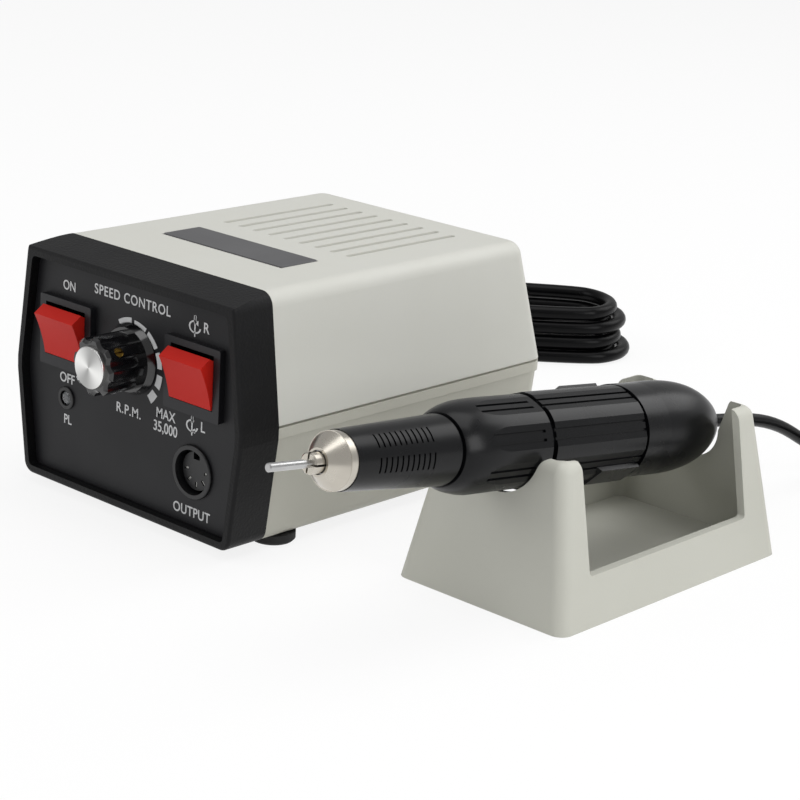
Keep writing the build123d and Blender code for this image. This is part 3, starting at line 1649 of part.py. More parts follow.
def cord(points, radii, diameter, name):
    """Round tube along straight runs and tangent arcs, written as its own node."""
    with BuildPart() as body:
        with BuildLine() as route:
            rounded_route(points, radii)
        with BuildSketch(Plane(origin=route.line @ 0, z_dir=route.line % 0)):
            Circle(diameter / 2)
        sweep(path=route.line)
    finish(body, name)
    wire = Wire(route.edges())
    section = math.pi * diameter**2 / 4
    print(
        name,
        "length %.0f" % wire.length,
        "volume over section and length %.4f" % (body.part.volume / section / wire.length),
        "radii",
        [round(radius, 1) for radius in radii],
    )
    gap = least_gap(wire, diameter, diameter / 4)
    if gap is not None:
        print(name, "least gap to itself %.2f" % gap)


# Handpiece cord: from the dome down to the table, then a neat coil beside the cradle
exit_point = hp_home + hp_dir * (cap_end - boot_in)
straight_end = hp_home + hp_dir * (cap_end + lead_straight)
coil_x = bx + lead_x + coil_outer_r
lead_route = [
    (exit_point.X, exit_point.Y, exit_point.Z),
    (straight_end.X, straight_end.Y, straight_end.Z),
    (bx + 114.9, by + 176.0, 26.5),
    (bx + lead_x, by + 199.0, 14.0),
    (bx + lead_x, by + 222.0, cord_d / 2),
    (bx + lead_x, by + coil_y - coil_run / 2, cord_d / 2),
]
cord(lead_route, corner_radii(lead_route), cord_d, "handpiece_cord_lead")
coil_points, coil_radii = hank(
    coil_run, coil_turns, coil_layers, coil_outer_r, coil_pitch, coil_layer_h, cord_d / 2, 0
)
coil_route = [lead_route[-1]]
coil_route += [(coil_x - y, by + coil_y + x, z) for x, y, z in coil_points]
coil_route.append((coil_x + coil_outer_r, by + coil_y - coil_run / 2 - coil_tail, cord_d / 2 + coil_layer_h))
cord(coil_route, coil_radii, cord_d, "handpiece_cord_coil")

# Five-pin plug beside the coil: shell with a key, body, neck round the cord
din_z = cord_d / 2 + coil_layer_h
din_start = Vector(*coil_route[-1])


def plug_plane(distance):
    """Plane square to the plug at this distance from the end of the cord, facing the front."""
    return Plane(origin=(din_start.X, din_start.Y - distance, din_z), x_dir=(1, 0, 0), z_dir=(0, -1, 0))


with BuildPart() as handpiece_plug:
    with BuildSketch(plug_plane(0)):
        Circle(din_neck_r)
    with BuildSketch(plug_plane(din_neck_l)):
        Circle((din_neck_r + din_body_r) / 2)
    loft()
    with BuildSketch(plug_plane(din_neck_l)):
        Circle(din_z)
    extrude(amount=din_body_l)
    chamfer(handpiece_plug.faces().sort_by(Axis.Y)[0].edges(), din_shell_t)
    with BuildSketch(plug_plane(din_neck_l + din_body_l)):
        Circle(din_shell_r)
        Circle(din_shell_r - din_shell_t, mode=Mode.SUBTRACT)
    extrude(amount=din_shell_l)
    with BuildSketch(plug_plane(din_neck_l + din_body_l)):
        with PolarLocations(contact_ring_r, contact_count, 180, contact_span, endpoint=True):
            Circle(din_pin_r)
    extrude(amount=din_pin_l)
finish(handpiece_plug, "handpiece_plug")

# Mains cord: out of the strain relief, round the hank behind the box, on to the plug
hank_turn = math.radians(hank_angle)
hank_dir = Vector(math.cos(hank_turn), math.sin(hank_turn), 0)
hank_left = Vector(-math.sin(hank_turn), math.cos(hank_turn), 0)
hank_home = Vector(bx + hank_right_x, by + hank_right_y, 0) - hank_dir * (hank_run / 2)


def hank_place(x, y, z):
    place = hank_home + hank_dir * x + hank_left * y
    return (place.X, place.Y, z)


hank_points, hank_radii = hank(
    hank_run, hank_turns, hank_layers, hank_outer_r, hank_pitch, hank_layer_h, mains_d / 2, hank_setback
)
mains_lead = [
    (bx + gland_x, rear_face - wall - relief_nut_t, gland_z),
    (bx + gland_x, rear_face + relief_l + 10.0, gland_z),
    (bx + gland_x - 14.0, rear_face + relief_l + 27.0, mains_d / 2),
    hank_place(-hank_run / 2 - hank_outer_r - hank_pitch / 2, -28.0, mains_d / 2),
    hank_place(-hank_run / 2 - hank_outer_r - hank_pitch / 2, hank_outer_r, mains_d / 2),
]
mains_tail = [
    hank_place(-hank_run / 2 - 34.0, -hank_outer_r, mains_d / 2 + (hank_layers - 1) * hank_layer_h),
    hank_place(-hank_run / 2 - hank_tail + 18.0, -hank_outer_r, plug_t / 2),
    hank_place(-hank_run / 2 - hank_tail, -hank_outer_r, plug_t / 2),
]
hank_start = hank_place(-hank_run / 2 + 2 * mains_d, hank_outer_r, mains_d / 2)
hank_end = hank_place(-hank_run / 2 - 2 * mains_d, -hank_outer_r, mains_d / 2 + (hank_layers - 1) * hank_layer_h)
lead_radii = corner_radii(mains_lead + [hank_start])
cord(mains_lead + [hank_start], lead_radii[:-1] + [hank_outer_r + hank_pitch / 2], mains_d, "mains_cord_lead")
cord([hank_start] + [hank_place(*point) for point in hank_points] + [hank_end], hank_radii, mains_d, "mains_cord_hank")
cord([hank_end] + mains_tail, corner_radii([hank_end] + mains_tail), mains_d, "mains_cord_tail")

# Two-pin mains plug at the cord's end
plug_start = Vector(*mains_tail[-1])


def mains_plug_plane(distance):
    """Plane square to the mains plug at this distance beyond the end of the cord."""
    return Plane(
        origin=plug_start - hank_dir * distance, x_dir=tuple(-hank_left), z_dir=tuple(-hank_dir)
    )


with BuildPart() as mains_plug:
    with BuildSketch(mains_plug_plane(0)):
        Circle(mains_d / 2 + relief_tip_wall)
    with BuildSketch(mains_plug_plane(plug_tail_l)):
        Circle(plug_tail_r)
    loft()
    with BuildSketch(mains_plug_plane(plug_tail_l)):
        RectangleRounded(plug_w, plug_t, plug_round)
    extrude(amount=plug_l)
    with BuildSketch(mains_plug_plane(plug_tail_l + plug_l)):
        with GridLocations(plug_pin_gap, 1, 2, 1):
            Circle(plug_pin_r)
    extrude(amount=plug_pin_l)
finish(mains_plug, "mains_plug")
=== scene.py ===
# %% [markdown]
# # A dental laboratory micromotor
# A control box drives a slim motor handpiece that rests in a notched cradle. The mechanical
# model arrives as a fixed frame of separate parts, in metres. These cells add the cords, the
# printed marks and every surface finish around it, and then the light and the camera.

# %% Load the frame
import math

import bmesh
import bpy
from mathutils import Matrix, Vector


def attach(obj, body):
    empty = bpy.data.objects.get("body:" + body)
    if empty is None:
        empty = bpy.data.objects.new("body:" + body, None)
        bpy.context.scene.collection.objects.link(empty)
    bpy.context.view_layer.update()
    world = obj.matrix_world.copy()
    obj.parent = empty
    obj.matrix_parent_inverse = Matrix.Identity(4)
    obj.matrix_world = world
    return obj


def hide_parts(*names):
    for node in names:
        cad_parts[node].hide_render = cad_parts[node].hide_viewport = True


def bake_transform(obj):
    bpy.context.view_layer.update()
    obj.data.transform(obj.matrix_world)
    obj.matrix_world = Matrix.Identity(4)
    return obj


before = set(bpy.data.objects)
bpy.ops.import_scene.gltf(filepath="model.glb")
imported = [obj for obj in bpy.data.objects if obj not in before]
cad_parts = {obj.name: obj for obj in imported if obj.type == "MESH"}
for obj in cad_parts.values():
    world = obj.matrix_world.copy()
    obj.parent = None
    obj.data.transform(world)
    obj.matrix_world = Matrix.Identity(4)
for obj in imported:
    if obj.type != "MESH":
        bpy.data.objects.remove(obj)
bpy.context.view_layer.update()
bpy.ops.object.select_all(action="DESELECT")

# %% [markdown]
# ## Places
# All new pieces are set from a few known points: the middle of the box's front edge, the
# resting point of the handpiece and its tilted axis. One helper turns millimetres to metres,
# because drawings of small tools are read in millimetres.

# %% Places of the box and the handpiece
MM = 0.001
BOX_X = -47.35
BOX_Y = -45.97
PANEL_Y = BOX_Y + 3.0
REAR_Y = BOX_Y + 136.0
KNOB_Z = 50.3
HOLD = Vector((67.35, -5.97, 46.9))
TILT = math.radians(7.5)
ALONG = Vector((0, math.cos(TILT), -math.sin(TILT)))


def metres(x, y, z):
    return Vector((x, y, z)) * MM


def on_handpiece(distance):
    """A point on the handpiece's axis, at this distance in mm behind its resting point."""
    return (HOLD + ALONG * distance) * MM


print("handpiece tip", tuple(on_handpiece(-92.7)))

# %% [markdown]
# ## Camera
# The picture was taken from the front left corner of the table with a long lens, so that the
# front panel, the right side of the box and the length of the handpiece all show. A camera's
# turn is easiest to give as three directions: its right, its up and the way back from what it
# sees. They are the columns of its matrix.

# %% Place the camera
CAMERA_PLACE = metres(443.35, -469.17, 240.7)
CAMERA_AZIMUTH = math.radians(41.93)
CAMERA_HEIGHT = math.radians(17.10)
CAMERA_ROLL = math.radians(3.34)
LENS_MM = 101.8

back = Vector((
    math.sin(CAMERA_AZIMUTH) * math.cos(CAMERA_HEIGHT),
    -math.cos(CAMERA_AZIMUTH) * math.cos(CAMERA_HEIGHT),
    math.sin(CAMERA_HEIGHT),
))
level = Vector((0, 0, 1)).cross(back).normalized()
upright = back.cross(level)
right = math.cos(CAMERA_ROLL) * level + math.sin(CAMERA_ROLL) * upright
up = math.cos(CAMERA_ROLL) * upright - math.sin(CAMERA_ROLL) * level
lens = bpy.data.cameras.new("camera")
lens.lens = LENS_MM
lens.sensor_width = 36.0
lens.clip_start = 0.01
camera = bpy.data.objects.new("camera", lens)
bpy.context.scene.collection.objects.link(camera)
camera_turn = Matrix((right, up, back)).transposed().to_4x4()
camera.matrix_world = Matrix.Translation(CAMERA_PLACE) @ camera_turn
bpy.context.scene.camera = camera
print("camera distance", round(CAMERA_PLACE.length, 3))

# %% [markdown]
# ## Cords
# A cord is a fixed length of round rubber. The smoothest way to draw one is a NURBS curve
# whose points are laid along its way, given a round section by the curve's own bevel
# and then turned into a mesh.
# Both cords end in a coil that lies on the table out of the camera's way, apart from the end of
# the mains hank, which shows behind the box. A turn of a coil is more points of the same curve.

# %% Points of a wound hank
HALF_TURN_POINTS = 6


def wound(run, turns, layers, outer, pitch, layer_height, low, setback):
    """Points of a flat hank with its runs along x, in layers, each turn a pitch inside the last."""
    points = []
    ends = [outer - pitch * turn for turn in range(turns)]
    left = -run / 2
    flat = run / 5
    step = math.pi / HALF_TURN_POINTS

    def half_turn(x, y_from, y_to, z, sign):
        middle = (y_from + y_to) / 2
        reach = abs(y_to - y_from) / 2
        spread = 1 / math.cos(step / 2)
        for k in range(HALF_TURN_POINTS):
            t = (k + 0.5) * step
            points.append((
                x + sign * reach * spread * math.sin(t),
                middle + (y_from - middle) * spread * math.cos(t),
                z,
            ))

    for layer in range(layers):
        z = low + layer * layer_height
        far = run / 2 - setback * layer
        inward = layer % 2 == 0
        order = ends if inward else ends[::-1]
        if not inward:
            half_turn(left, -order[0], order[0], z, -1)
        for here, after in zip(order, order[1:] + [None]):
            if inward:
                half_turn(far, here, -here, z, 1)
                if after is not None:
                    half_turn(left, -here, after, z, -1)
            elif after is not None:
                half_turn(far, here, -after, z, 1)
                if after != ends[0] or layer + 1 < layers:
                    half_turn(left, -after, after, z, -1)
        if layer + 1 < layers:
            y = -order[-1] if inward else order[-1]
            begin, stop = (far, left) if inward else (left, far - setback)
            way = flat if stop > begin else -flat
            points.append((begin + way, y, z))
            points.append((stop - way, y, z + layer_height))
    return points


# %% A smooth line through listed points, and the cord made from it
def smooth_line(name, points, steps):
    """A NURBS curve with these points, given in mm, as its control points."""
    curve = bpy.data.curves.new(name, "CURVE")
    curve.dimensions = "3D"
    spline = curve.splines.new("NURBS")
    spline.points.add(len(points) - 1)
    for point, place in zip(spline.points, points):
        point.co = (*(Vector(place) * MM), 1.0)
    spline.order_u = 3
    spline.use_endpoint_u = True
    spline.resolution_u = steps
    piece = bpy.data.objects.new(name, curve)
    bpy.context.scene.collection.objects.link(piece)
    return piece


def line_points(piece):
    """The points that a curve without thickness runs through, in order."""
    mesh = bpy.data.meshes.new_from_object(piece)
    places = [vertex.co.copy() for vertex in mesh.vertices]
    bpy.data.meshes.remove(mesh)
    return places


def line_length(places):
    return sum((b - a).length for a, b in zip(places, places[1:]))


def round_cord(line, across, resolution):
    """The line thickened to a round cord, this far across in mm, and turned into a mesh."""
    line.data.bevel_depth = across / 2 * MM
    line.data.bevel_resolution = resolution
    line.data.use_fill_caps = True
    bpy.context.view_layer.objects.active = line
    line.select_set(True)
    bpy.ops.object.convert(target="MESH")
    bpy.ops.object.shade_smooth()
    cord = bpy.context.object
    cord.select_set(False)
    return cord


# %% Mains cord with its hank behind the box
CURVE_STEPS = 6
MAINS_ACROSS = 5.2
MAINS_EXIT_X = BOX_X - 35.0
MAINS_EXIT_Z = 14.0
MAINS_ROOT = 5.4
HANK_RUN = 50.0
HANK_TURNS = 2
HANK_LAYERS = 4
HANK_OUTER = 20.6
HANK_PITCH = 5.8
HANK_LAYER = 5.7
HANK_SETBACK = 1.2
HANK_TURN = math.radians(42.0)
PLUG_AXIS_Z = 6.85
hank_dir = Vector((math.cos(HANK_TURN), math.sin(HANK_TURN), 0))
hank_left = Vector((-math.sin(HANK_TURN), math.cos(HANK_TURN), 0))
hank_home = Vector((BOX_X - 37.5, BOX_Y + 264.0, 0)) - hank_dir * (HANK_RUN / 2)
hank_start = -HANK_RUN / 2


def on_hank(x, y, z):
    return hank_home + hank_dir * x + hank_left * y + Vector((0, 0, z))


mains_low = MAINS_ACROSS / 2
hank_top = mains_low + (HANK_LAYERS - 1) * HANK_LAYER
hank_turns = wound(
    HANK_RUN, HANK_TURNS, HANK_LAYERS, HANK_OUTER, HANK_PITCH, HANK_LAYER, mains_low, HANK_SETBACK
)
mains_route = [
    (MAINS_EXIT_X, REAR_Y - MAINS_ROOT, MAINS_EXIT_Z),
    (MAINS_EXIT_X, REAR_Y + 44.0, MAINS_EXIT_Z),
    (BOX_X - 49.0, REAR_Y + 61.0, mains_low),
    on_hank(hank_start - HANK_OUTER - HANK_PITCH / 2, -28.0, mains_low),
    on_hank(hank_start - 19.0, 15.0, mains_low),
    on_hank(hank_start - 10.0, HANK_OUTER, mains_low),
    *[on_hank(*point) for point in hank_turns],
    on_hank(hank_start - 34.0, -HANK_OUTER, hank_top),
    on_hank(hank_start - 66.0, -HANK_OUTER, PLUG_AXIS_Z),
    on_hank(hank_start - 84.0, -HANK_OUTER, PLUG_AXIS_Z),
]
mains_cord = smooth_line("mains_cord", mains_route, CURVE_STEPS)
mains_path = line_points(mains_cord)
print("mains cord", round(line_length(mains_path), 3))
mains_cord = round_cord(mains_cord, MAINS_ACROSS, 5)
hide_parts("mains_cord_lead", "mains_cord_hank", "mains_cord_tail")
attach(mains_cord, "base")

# %% Handpiece cord with its coil beside the cradle
HAND_ACROSS = 4.2
HAND_LINE_X = BOX_X + 115.0
LANDING_Y = BOX_Y + 222.0
CAP_INSIDE = 90.2
CAP_CLEAR = 112.2
COIL_RUN = 26.0
COIL_TURNS = 4
COIL_LAYERS = 2
COIL_OUTER = 30.2
COIL_PITCH = 4.8
COIL_LAYER = 4.7
COIL_X = HAND_LINE_X + COIL_OUTER
COIL_Y = BOX_Y + 248.0
hand_low = HAND_ACROSS / 2
coil_start = COIL_Y - COIL_RUN / 2
cap_clear = HOLD + ALONG * CAP_CLEAR
coil_turns = wound(
    COIL_RUN, COIL_TURNS, COIL_LAYERS, COIL_OUTER, COIL_PITCH, COIL_LAYER, hand_low, 0.0
)
hand_route = [
    tuple(HOLD + ALONG * CAP_INSIDE),
    tuple(cap_clear),
    (BOX_X + 114.9, BOX_Y + 176.0, 26.5),
    (HAND_LINE_X, BOX_Y + 199.0, 14.0),
    (HAND_LINE_X, LANDING_Y, hand_low),
    (HAND_LINE_X, coil_start, hand_low),
    *[(COIL_X - y, COIL_Y + x, z) for x, y, z in coil_turns],
    (COIL_X + COIL_OUTER, coil_start - 8.0, hand_low + COIL_LAYER),
    (COIL_X + COIL_OUTER, coil_start - 22.0, hand_low + COIL_LAYER),
]
handpiece_cord = smooth_line("handpiece_cord", hand_route, CURVE_STEPS)
hand_path = line_points(handpiece_cord)
print("handpiece cord", round(line_length(hand_path), 3))
handpiece_cord = round_cord(handpiece_cord, HAND_ACROSS, 4)
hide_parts("handpiece_cord_lead", "handpiece_cord_coil")
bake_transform(handpiece_cord)

# %% [markdown]
# ## Finishes
# Each finish is built from what the real surface is. Colours are written as hex, the way a
# paint or plastic swatch is read from a screen, and turned to the linear values that light
# mixes in. One small function adds a node, so that a recipe below reads from top to bottom.

# %% Colour and node helpers
def linear(code):
    """sRGB hex to linear RGBA."""
    parts = [int(code[i:i + 2], 16) / 255 for i in (1, 3, 5)]
    return [p / 12.92 if p <= 0.04045 else ((p + 0.055) / 1.055) ** 2.4 for p in parts] + [1.0]


def add_node(tree, kind, inputs=None, **settings):
    """A new node with its settings, its input values and its links."""
    node = tree.nodes.new(kind)
    for name, value in settings.items():
        setattr(node, name, value)
    for socket, value in (inputs or {}).items():
        if isinstance(value, bpy.types.NodeSocket):
            tree.links.new(value, node.inputs[socket])
        else:
            node.inputs[socket].default_value = value
    return node


def new_finish(name, colour, roughness, metallic=0.0):
    """A material with its shader set, and the tree and shader to build on."""
    material = bpy.data.materials.new(name)
    material.use_nodes = True
    tree = material.node_tree
    shader = tree.nodes["Principled BSDF"]
    shader.inputs["Base Color"].default_value = linear(colour)
    shader.inputs["Roughness"].default_value = roughness
    shader.inputs["Metallic"].default_value = metallic
    return material, tree, shader


def per_metre(size_mm):
    """A texture's scale for a pattern of this size."""
    return 1000.0 / size_mm


WAVE_SCALE = 0.05


def object_place(tree):
    """Where a point of the surface lies on its object, so that a pattern stays put on it."""
    return add_node(tree, "ShaderNodeTexCoord").outputs["Object"]


def mixed(tree, amount, colour, shade):
    """One hex colour turning into another as the amount goes from 0 to 1."""
    return add_node(
        tree, "ShaderNodeMix", {0: amount, 6: linear(colour), 7: linear(shade)}, data_type="RGBA"
    ).outputs[2]


def spread(tree, amount, low, high):
    """The middle part of a noise stretched between two values."""
    return add_node(
        tree,
        "ShaderNodeMapRange",
        {"Value": amount, "From Min": 0.3, "From Max": 0.7, "To Min": low, "To Max": high},
    ).outputs["Result"]


def raised(tree, height, depth_mm, strength):
    """The surface direction where a pattern is raised by this depth."""
    return add_node(
        tree, "ShaderNodeBump", {"Height": height, "Distance": depth_mm * MM, "Strength": strength}
    ).outputs["Normal"]


def wire(tree, shader, **outputs):
    """Links each output to the shader's input; an underscore in its name stands for a space."""
    for name, output in outputs.items():
        tree.links.new(output, shader.inputs[name.replace("_", " ")])


finishes = {}


# %% [markdown]
# Moulded plastic takes the skin of its steel mould. Under a soft light that gives a fine grain
# that breaks the highlight, a slow drift in tone across a wide face, and polish where hands
# rub. Grain and drift are two noises at two sizes on the same recipe; the gloss follows the drift.

# %% Moulded and painted skins
def skin(name, colour, shade, roughness, grain_mm, depth_mm, drift_mm=35.0, coat=0.0, shine=0.5):
    """A grained skin: colour drifts to shade, the gloss varies a little, fine grain is raised."""
    material, tree, shader = new_finish(name, colour, roughness)
    shader.inputs["Specular IOR Level"].default_value = shine
    place = object_place(tree)
    drift = add_node(
        tree, "ShaderNodeTexNoise", {"Vector": place, "Scale": per_metre(drift_mm), "Detail": 3.0}
    ).outputs["Fac"]
    fine = add_node(
        tree,
        "ShaderNodeTexNoise",
        {"Vector": place, "Scale": per_metre(grain_mm), "Detail": 2.0, "Roughness": 0.6},
    ).outputs["Fac"]
    wire(
        tree,
        shader,
        Base_Color=mixed(tree, drift, colour, shade),
        Roughness=spread(tree, drift, roughness - 0.05, roughness + 0.05),
        Normal=raised(tree, fine, depth_mm, 0.8),
    )
    shader.inputs["Coat Weight"].default_value = coat
    shader.inputs["Coat Roughness"].default_value = 0.12
    finishes[name] = material


skin("abs_pale_grey", "#C9C9C3", "#C3C3BB", 0.5, 0.5, 0.03)
# Lower case: the cover's pale grey plastic made darker, painted shade for its sides that lean down
# away from the light.
skin("abs_grey_painted_shade", "#BBBAB0", "#B4B3A8", 0.5, 0.5, 0.03)
skin("abs_cradle_grey", "#BEBEB5", "#B7B7AD", 0.48, 0.5, 0.03)
skin("abs_black_spark", "#0A0A0B", "#111113", 0.5, 0.9, 0.16, shine=0.2)
skin("enamel_panel_black", "#161619", "#121215", 0.5, 0.4, 0.02, shine=0.3)
skin("plate_dark_grey", "#4B4B4D", "#444446", 0.38, 0.6, 0.02)
skin("nylon_switch_black", "#1A1A1E", "#161619", 0.42, 0.5, 0.02, shine=0.35)
skin("polycarbonate_red", "#BC2218", "#B11D15", 0.45, 0.5, 0.015, shine=0.15)
skin("phenolic_knob_black", "#08080A", "#0C0C0E", 0.14, 1.2, 0.01, coat=0.6)
skin("polyamide_socket_black", "#0E0E10", "#151517", 0.4, 0.5, 0.02)
skin("rubber_foot_black", "#1A1A1A", "#232323", 0.8, 0.6, 0.05)
skin("pvc_cord_black", "#020203", "#050506", 0.3, 0.8, 0.02, shine=0.12)
skin("anodised_black", "#08080A", "#0C0D0F", 0.28, 0.25, 0.004, shine=0.22)
skin("epoxy_case_black", "#1E1E22", "#26262A", 0.35, 0.4, 0.01)
skin("screen_print_white", "#C9CACB", "#BFC0C1", 0.5, 0.3, 0.005)
skin("ferrite_dark", "#35353A", "#414146", 0.6, 0.3, 0.03)
print("skins", len(finishes))

# %% [markdown]
# Turned metal keeps the fine rings of the lathe tool, and each ring stretches the highlight
# across it. Rings are bands that repeat along the turning axis, so the pattern is turned to
# that axis with a Mapping node. The metal's own colour does the reflecting.

# %% Turned and plated metals
CLOUD_MM = 9.0


def turned_metal(name, colour, shade, roughness, ring_mm, depth_mm, turn=(0, 0, 0), bands="Y"):
    """Bare metal with tool rings along one axis and a faint cloud of tarnish."""
    material, tree, shader = new_finish(name, colour, roughness, 1.0)
    place = object_place(tree)
    lined = add_node(tree, "ShaderNodeMapping", {"Vector": place, "Rotation": turn})
    rings = add_node(
        tree,
        "ShaderNodeTexWave",
        {
            "Vector": lined.outputs["Vector"],
            "Scale": per_metre(ring_mm) * WAVE_SCALE,
            "Distortion": 0.6,
            "Detail": 2.0,
        },
        bands_direction=bands,
    ).outputs["Fac"]
    cloud = add_node(
        tree, "ShaderNodeTexNoise", {"Vector": place, "Scale": per_metre(CLOUD_MM), "Detail": 3.0}
    ).outputs["Fac"]
    wire(
        tree,
        shader,
        Base_Color=mixed(tree, cloud, colour, shade),
        Roughness=spread(tree, cloud, roughness - 0.04, roughness + 0.06),
        Normal=raised(tree, rings, depth_mm, 0.5),
    )
    finishes[name] = material


AXIS_TURN = (TILT, 0.0, 0.0)
turned_metal("nickel_turned", "#CFCAC0", "#BFB9AE", 0.26, 0.5, 0.003, AXIS_TURN)
turned_metal("steel_ground", "#C6C6C6", "#B4B4B4", 0.26, 0.4, 0.004, AXIS_TURN)
turned_metal("steel_plated", "#C0C0BC", "#AEAEAA", 0.3, 0.6, 0.01)
turned_metal("brass_machined", "#C09A4A", "#A9853A", 0.3, 0.3, 0.01, bands="DIAGONAL")
turned_metal("copper_turned", "#B9703C", "#9C5B30", 0.35, 0.3, 0.01, AXIS_TURN)
turned_metal("aluminium_extruded", "#8F8F92", "#7E7E82", 0.4, 0.5, 0.02, bands="X")
turned_metal("steel_laminated", "#77726B", "#5E5A55", 0.5, 0.5, 0.12)

# %% [markdown]
# The knob's cap is spun aluminium: rings around its middle catch a light as two bright fans.
# The fans come partly from a shader smoother along the rings than across them, its direction
# set around the knob's axis, and partly from a painted highlight tone that brightens twice a turn.

# %% Spun aluminium
SPUN_RING_MM = 0.35
SPUN_DEPTH_MM = 0.006
PAINTED_FAN_START = 0.9
material, tree, shader = new_finish("aluminium_spun", "#E6E6E4", 0.3, 1.0)
centred = add_node(
    tree,
    "ShaderNodeMapping",
    {"Vector": object_place(tree), "Location": (-BOX_X * MM, -BOX_Y * MM, -KNOB_Z * MM)},
).outputs["Vector"]
rings = add_node(
    tree,
    "ShaderNodeTexWave",
    {"Vector": centred, "Scale": per_metre(SPUN_RING_MM) * WAVE_SCALE, "Distortion": 0.3},
    wave_type="RINGS",
    rings_direction="Y",
).outputs["Fac"]
faced = add_node(tree, "ShaderNodeMapping", {"Vector": centred, "Rotation": (math.pi / 2, 0, 0)})
sweep = add_node(
    tree, "ShaderNodeTexGradient", {"Vector": faced.outputs["Vector"]}, gradient_type="RADIAL"
)
# Painted highlight: the base colour brightens into two fans a turn, with painted shade between
# them.
turns = add_node(
    tree,
    "ShaderNodeMath",
    {0: sweep.outputs["Fac"], 1: 4 * math.pi, 2: PAINTED_FAN_START},
    operation="MULTIPLY_ADD",
)
painted_fan_wave = add_node(tree, "ShaderNodeMath", {0: turns.outputs[0]}, operation="SINE")
depth = add_node(
    tree, "ShaderNodeMapRange", {"Value": painted_fan_wave.outputs[0], "From Min": -1.0, "From Max": 1.0}
)
around = add_node(tree, "ShaderNodeTangent", direction_type="RADIAL", axis="Y")
wire(
    tree,
    shader,
    Base_Color=mixed(tree, depth.outputs["Result"], "#A9A9A8", "#F2F2F0"),
    Normal=raised(tree, rings, SPUN_DEPTH_MM, 0.4),
    Tangent=around.outputs["Tangent"],
)
shader.inputs["Anisotropic"].default_value = 0.75
finishes["aluminium_spun"] = material

# %% [markdown]
# Clear parts are glass or clear plastic: the lamp's little lens and the tube of the fuse. A
# board is green lacquer over copper lines, and a transformer winding is wrapped in amber tape
# whose turns overlap.

# %% Clear parts, board and tape
material, tree, shader = new_finish("clear_lens", "#9A9DA0", 0.1)
ripple = add_node(
    tree, "ShaderNodeTexNoise", {"Vector": object_place(tree), "Scale": per_metre(2.0)}
).outputs["Fac"]
wire(tree, shader, Normal=raised(tree, ripple, 0.02, 0.4))
shader.inputs["Transmission Weight"].default_value = 0.7
shader.inputs["IOR"].default_value = 1.49
finishes["clear_lens"] = material

material, tree, shader = new_finish("board_lacquer_green", "#2F6B3A", 0.35)
tracks = add_node(
    tree,
    "ShaderNodeTexBrick",
    {
        "Vector": object_place(tree),
        "Color1": linear("#2F6B3A"),
        "Color2": linear("#2A6034"),
        "Mortar": linear("#6E8C3A"),
        "Scale": per_metre(1.0),
        "Brick Width": 7.0,
        "Row Height": 2.5,
        "Mortar Size": 0.3,
    },
)
wire(
    tree,
    shader,
    Base_Color=tracks.outputs["Color"],
    Normal=raised(tree, tracks.outputs["Fac"], 0.03, 0.6),
)
finishes["board_lacquer_green"] = material

material, tree, shader = new_finish("winding_tape_amber", "#C79A2E", 0.3)
laps = add_node(
    tree,
    "ShaderNodeTexWave",
    {"Vector": object_place(tree), "Scale": per_metre(9.0) * WAVE_SCALE, "Distortion": 0.4},
    bands_direction="Z",
    wave_profile="SAW",
).outputs["Fac"]
wire(
    tree,
    shader,
    Base_Color=mixed(tree, laps, "#D0A234", "#A97E22"),
    Normal=raised(tree, laps, 0.1, 0.6),
)
finishes["winding_tape_amber"] = material

# %% Give each mechanical part its finish
WORN_BY = {
    "abs_pale_grey": ["upper_cover"],
    "abs_grey_painted_shade": ["lower_case"],
    "abs_cradle_grey": ["cradle"],
    "abs_black_spark": ["front_bezel"],
    "enamel_panel_black": ["front_panel"],
    "plate_dark_grey": ["nameplate"],
    "nylon_switch_black": [
        "power_switch_housing", "direction_switch_housing", "mode_switch_body", "mode_switch_knob",
        "fuse_holder", "fuse_cap", "foot_control_jack",
    ],
    "polycarbonate_red": ["power_rocker", "direction_rocker"],
    "phenolic_knob_black": ["speed_knob"],
    "aluminium_spun": ["knob_cap"],
    "brass_machined": ["knob_set_screw"],
    "steel_plated": [
        "potentiometer", "potentiometer_shaft", "panel_nuts", "case_screws", "chassis_screws",
        "transformer_strap",
    ],
    "clear_lens": ["pilot_lamp", "fuse"],
    "polyamide_socket_black": ["pilot_lamp_ring", "output_socket", "output_socket_insert"],
    "rubber_foot_black": ["feet"],
    "steel_laminated": ["transformer_core"],
    "winding_tape_amber": ["transformer_winding"],
    "board_lacquer_green": ["circuit_board"],
    "epoxy_case_black": ["capacitor", "power_devices"],
    "aluminium_extruded": ["heat_sink"],
    "pvc_cord_black": [
        "mains_strain_relief", "mains_cord_lead", "mains_cord_hank", "mains_cord_tail",
        "mains_plug", "cord_boot", "handpiece_cord_lead", "handpiece_cord_coil", "handpiece_plug",
    ],
    "anodised_black": ["front_sleeve", "lock_sleeve", "motor_housing", "rear_cap"],
    "nickel_turned": ["nose_cone", "collet"],
    "steel_ground": ["shank_pin", "spindle", "ball_bearings", "drive_coupling", "collet_spring"],
    "ferrite_dark": ["motor_magnets", "armature"],
    "copper_turned": ["commutator", "brushes"],
}
for finish_name, wearers in WORN_BY.items():
    for wearer in wearers:
        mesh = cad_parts[wearer].data
        mesh.materials.clear()
        mesh.materials.append(finishes[finish_name])
bare = sorted(set(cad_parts) - {w for wearers in WORN_BY.values() for w in wearers})
print("parts without a finish", bare)
for cord_piece in (mains_cord, handpiece_cord):
    cord_piece.data.materials.clear()
    cord_piece.data.materials.append(finishes["pvc_cord_black"])

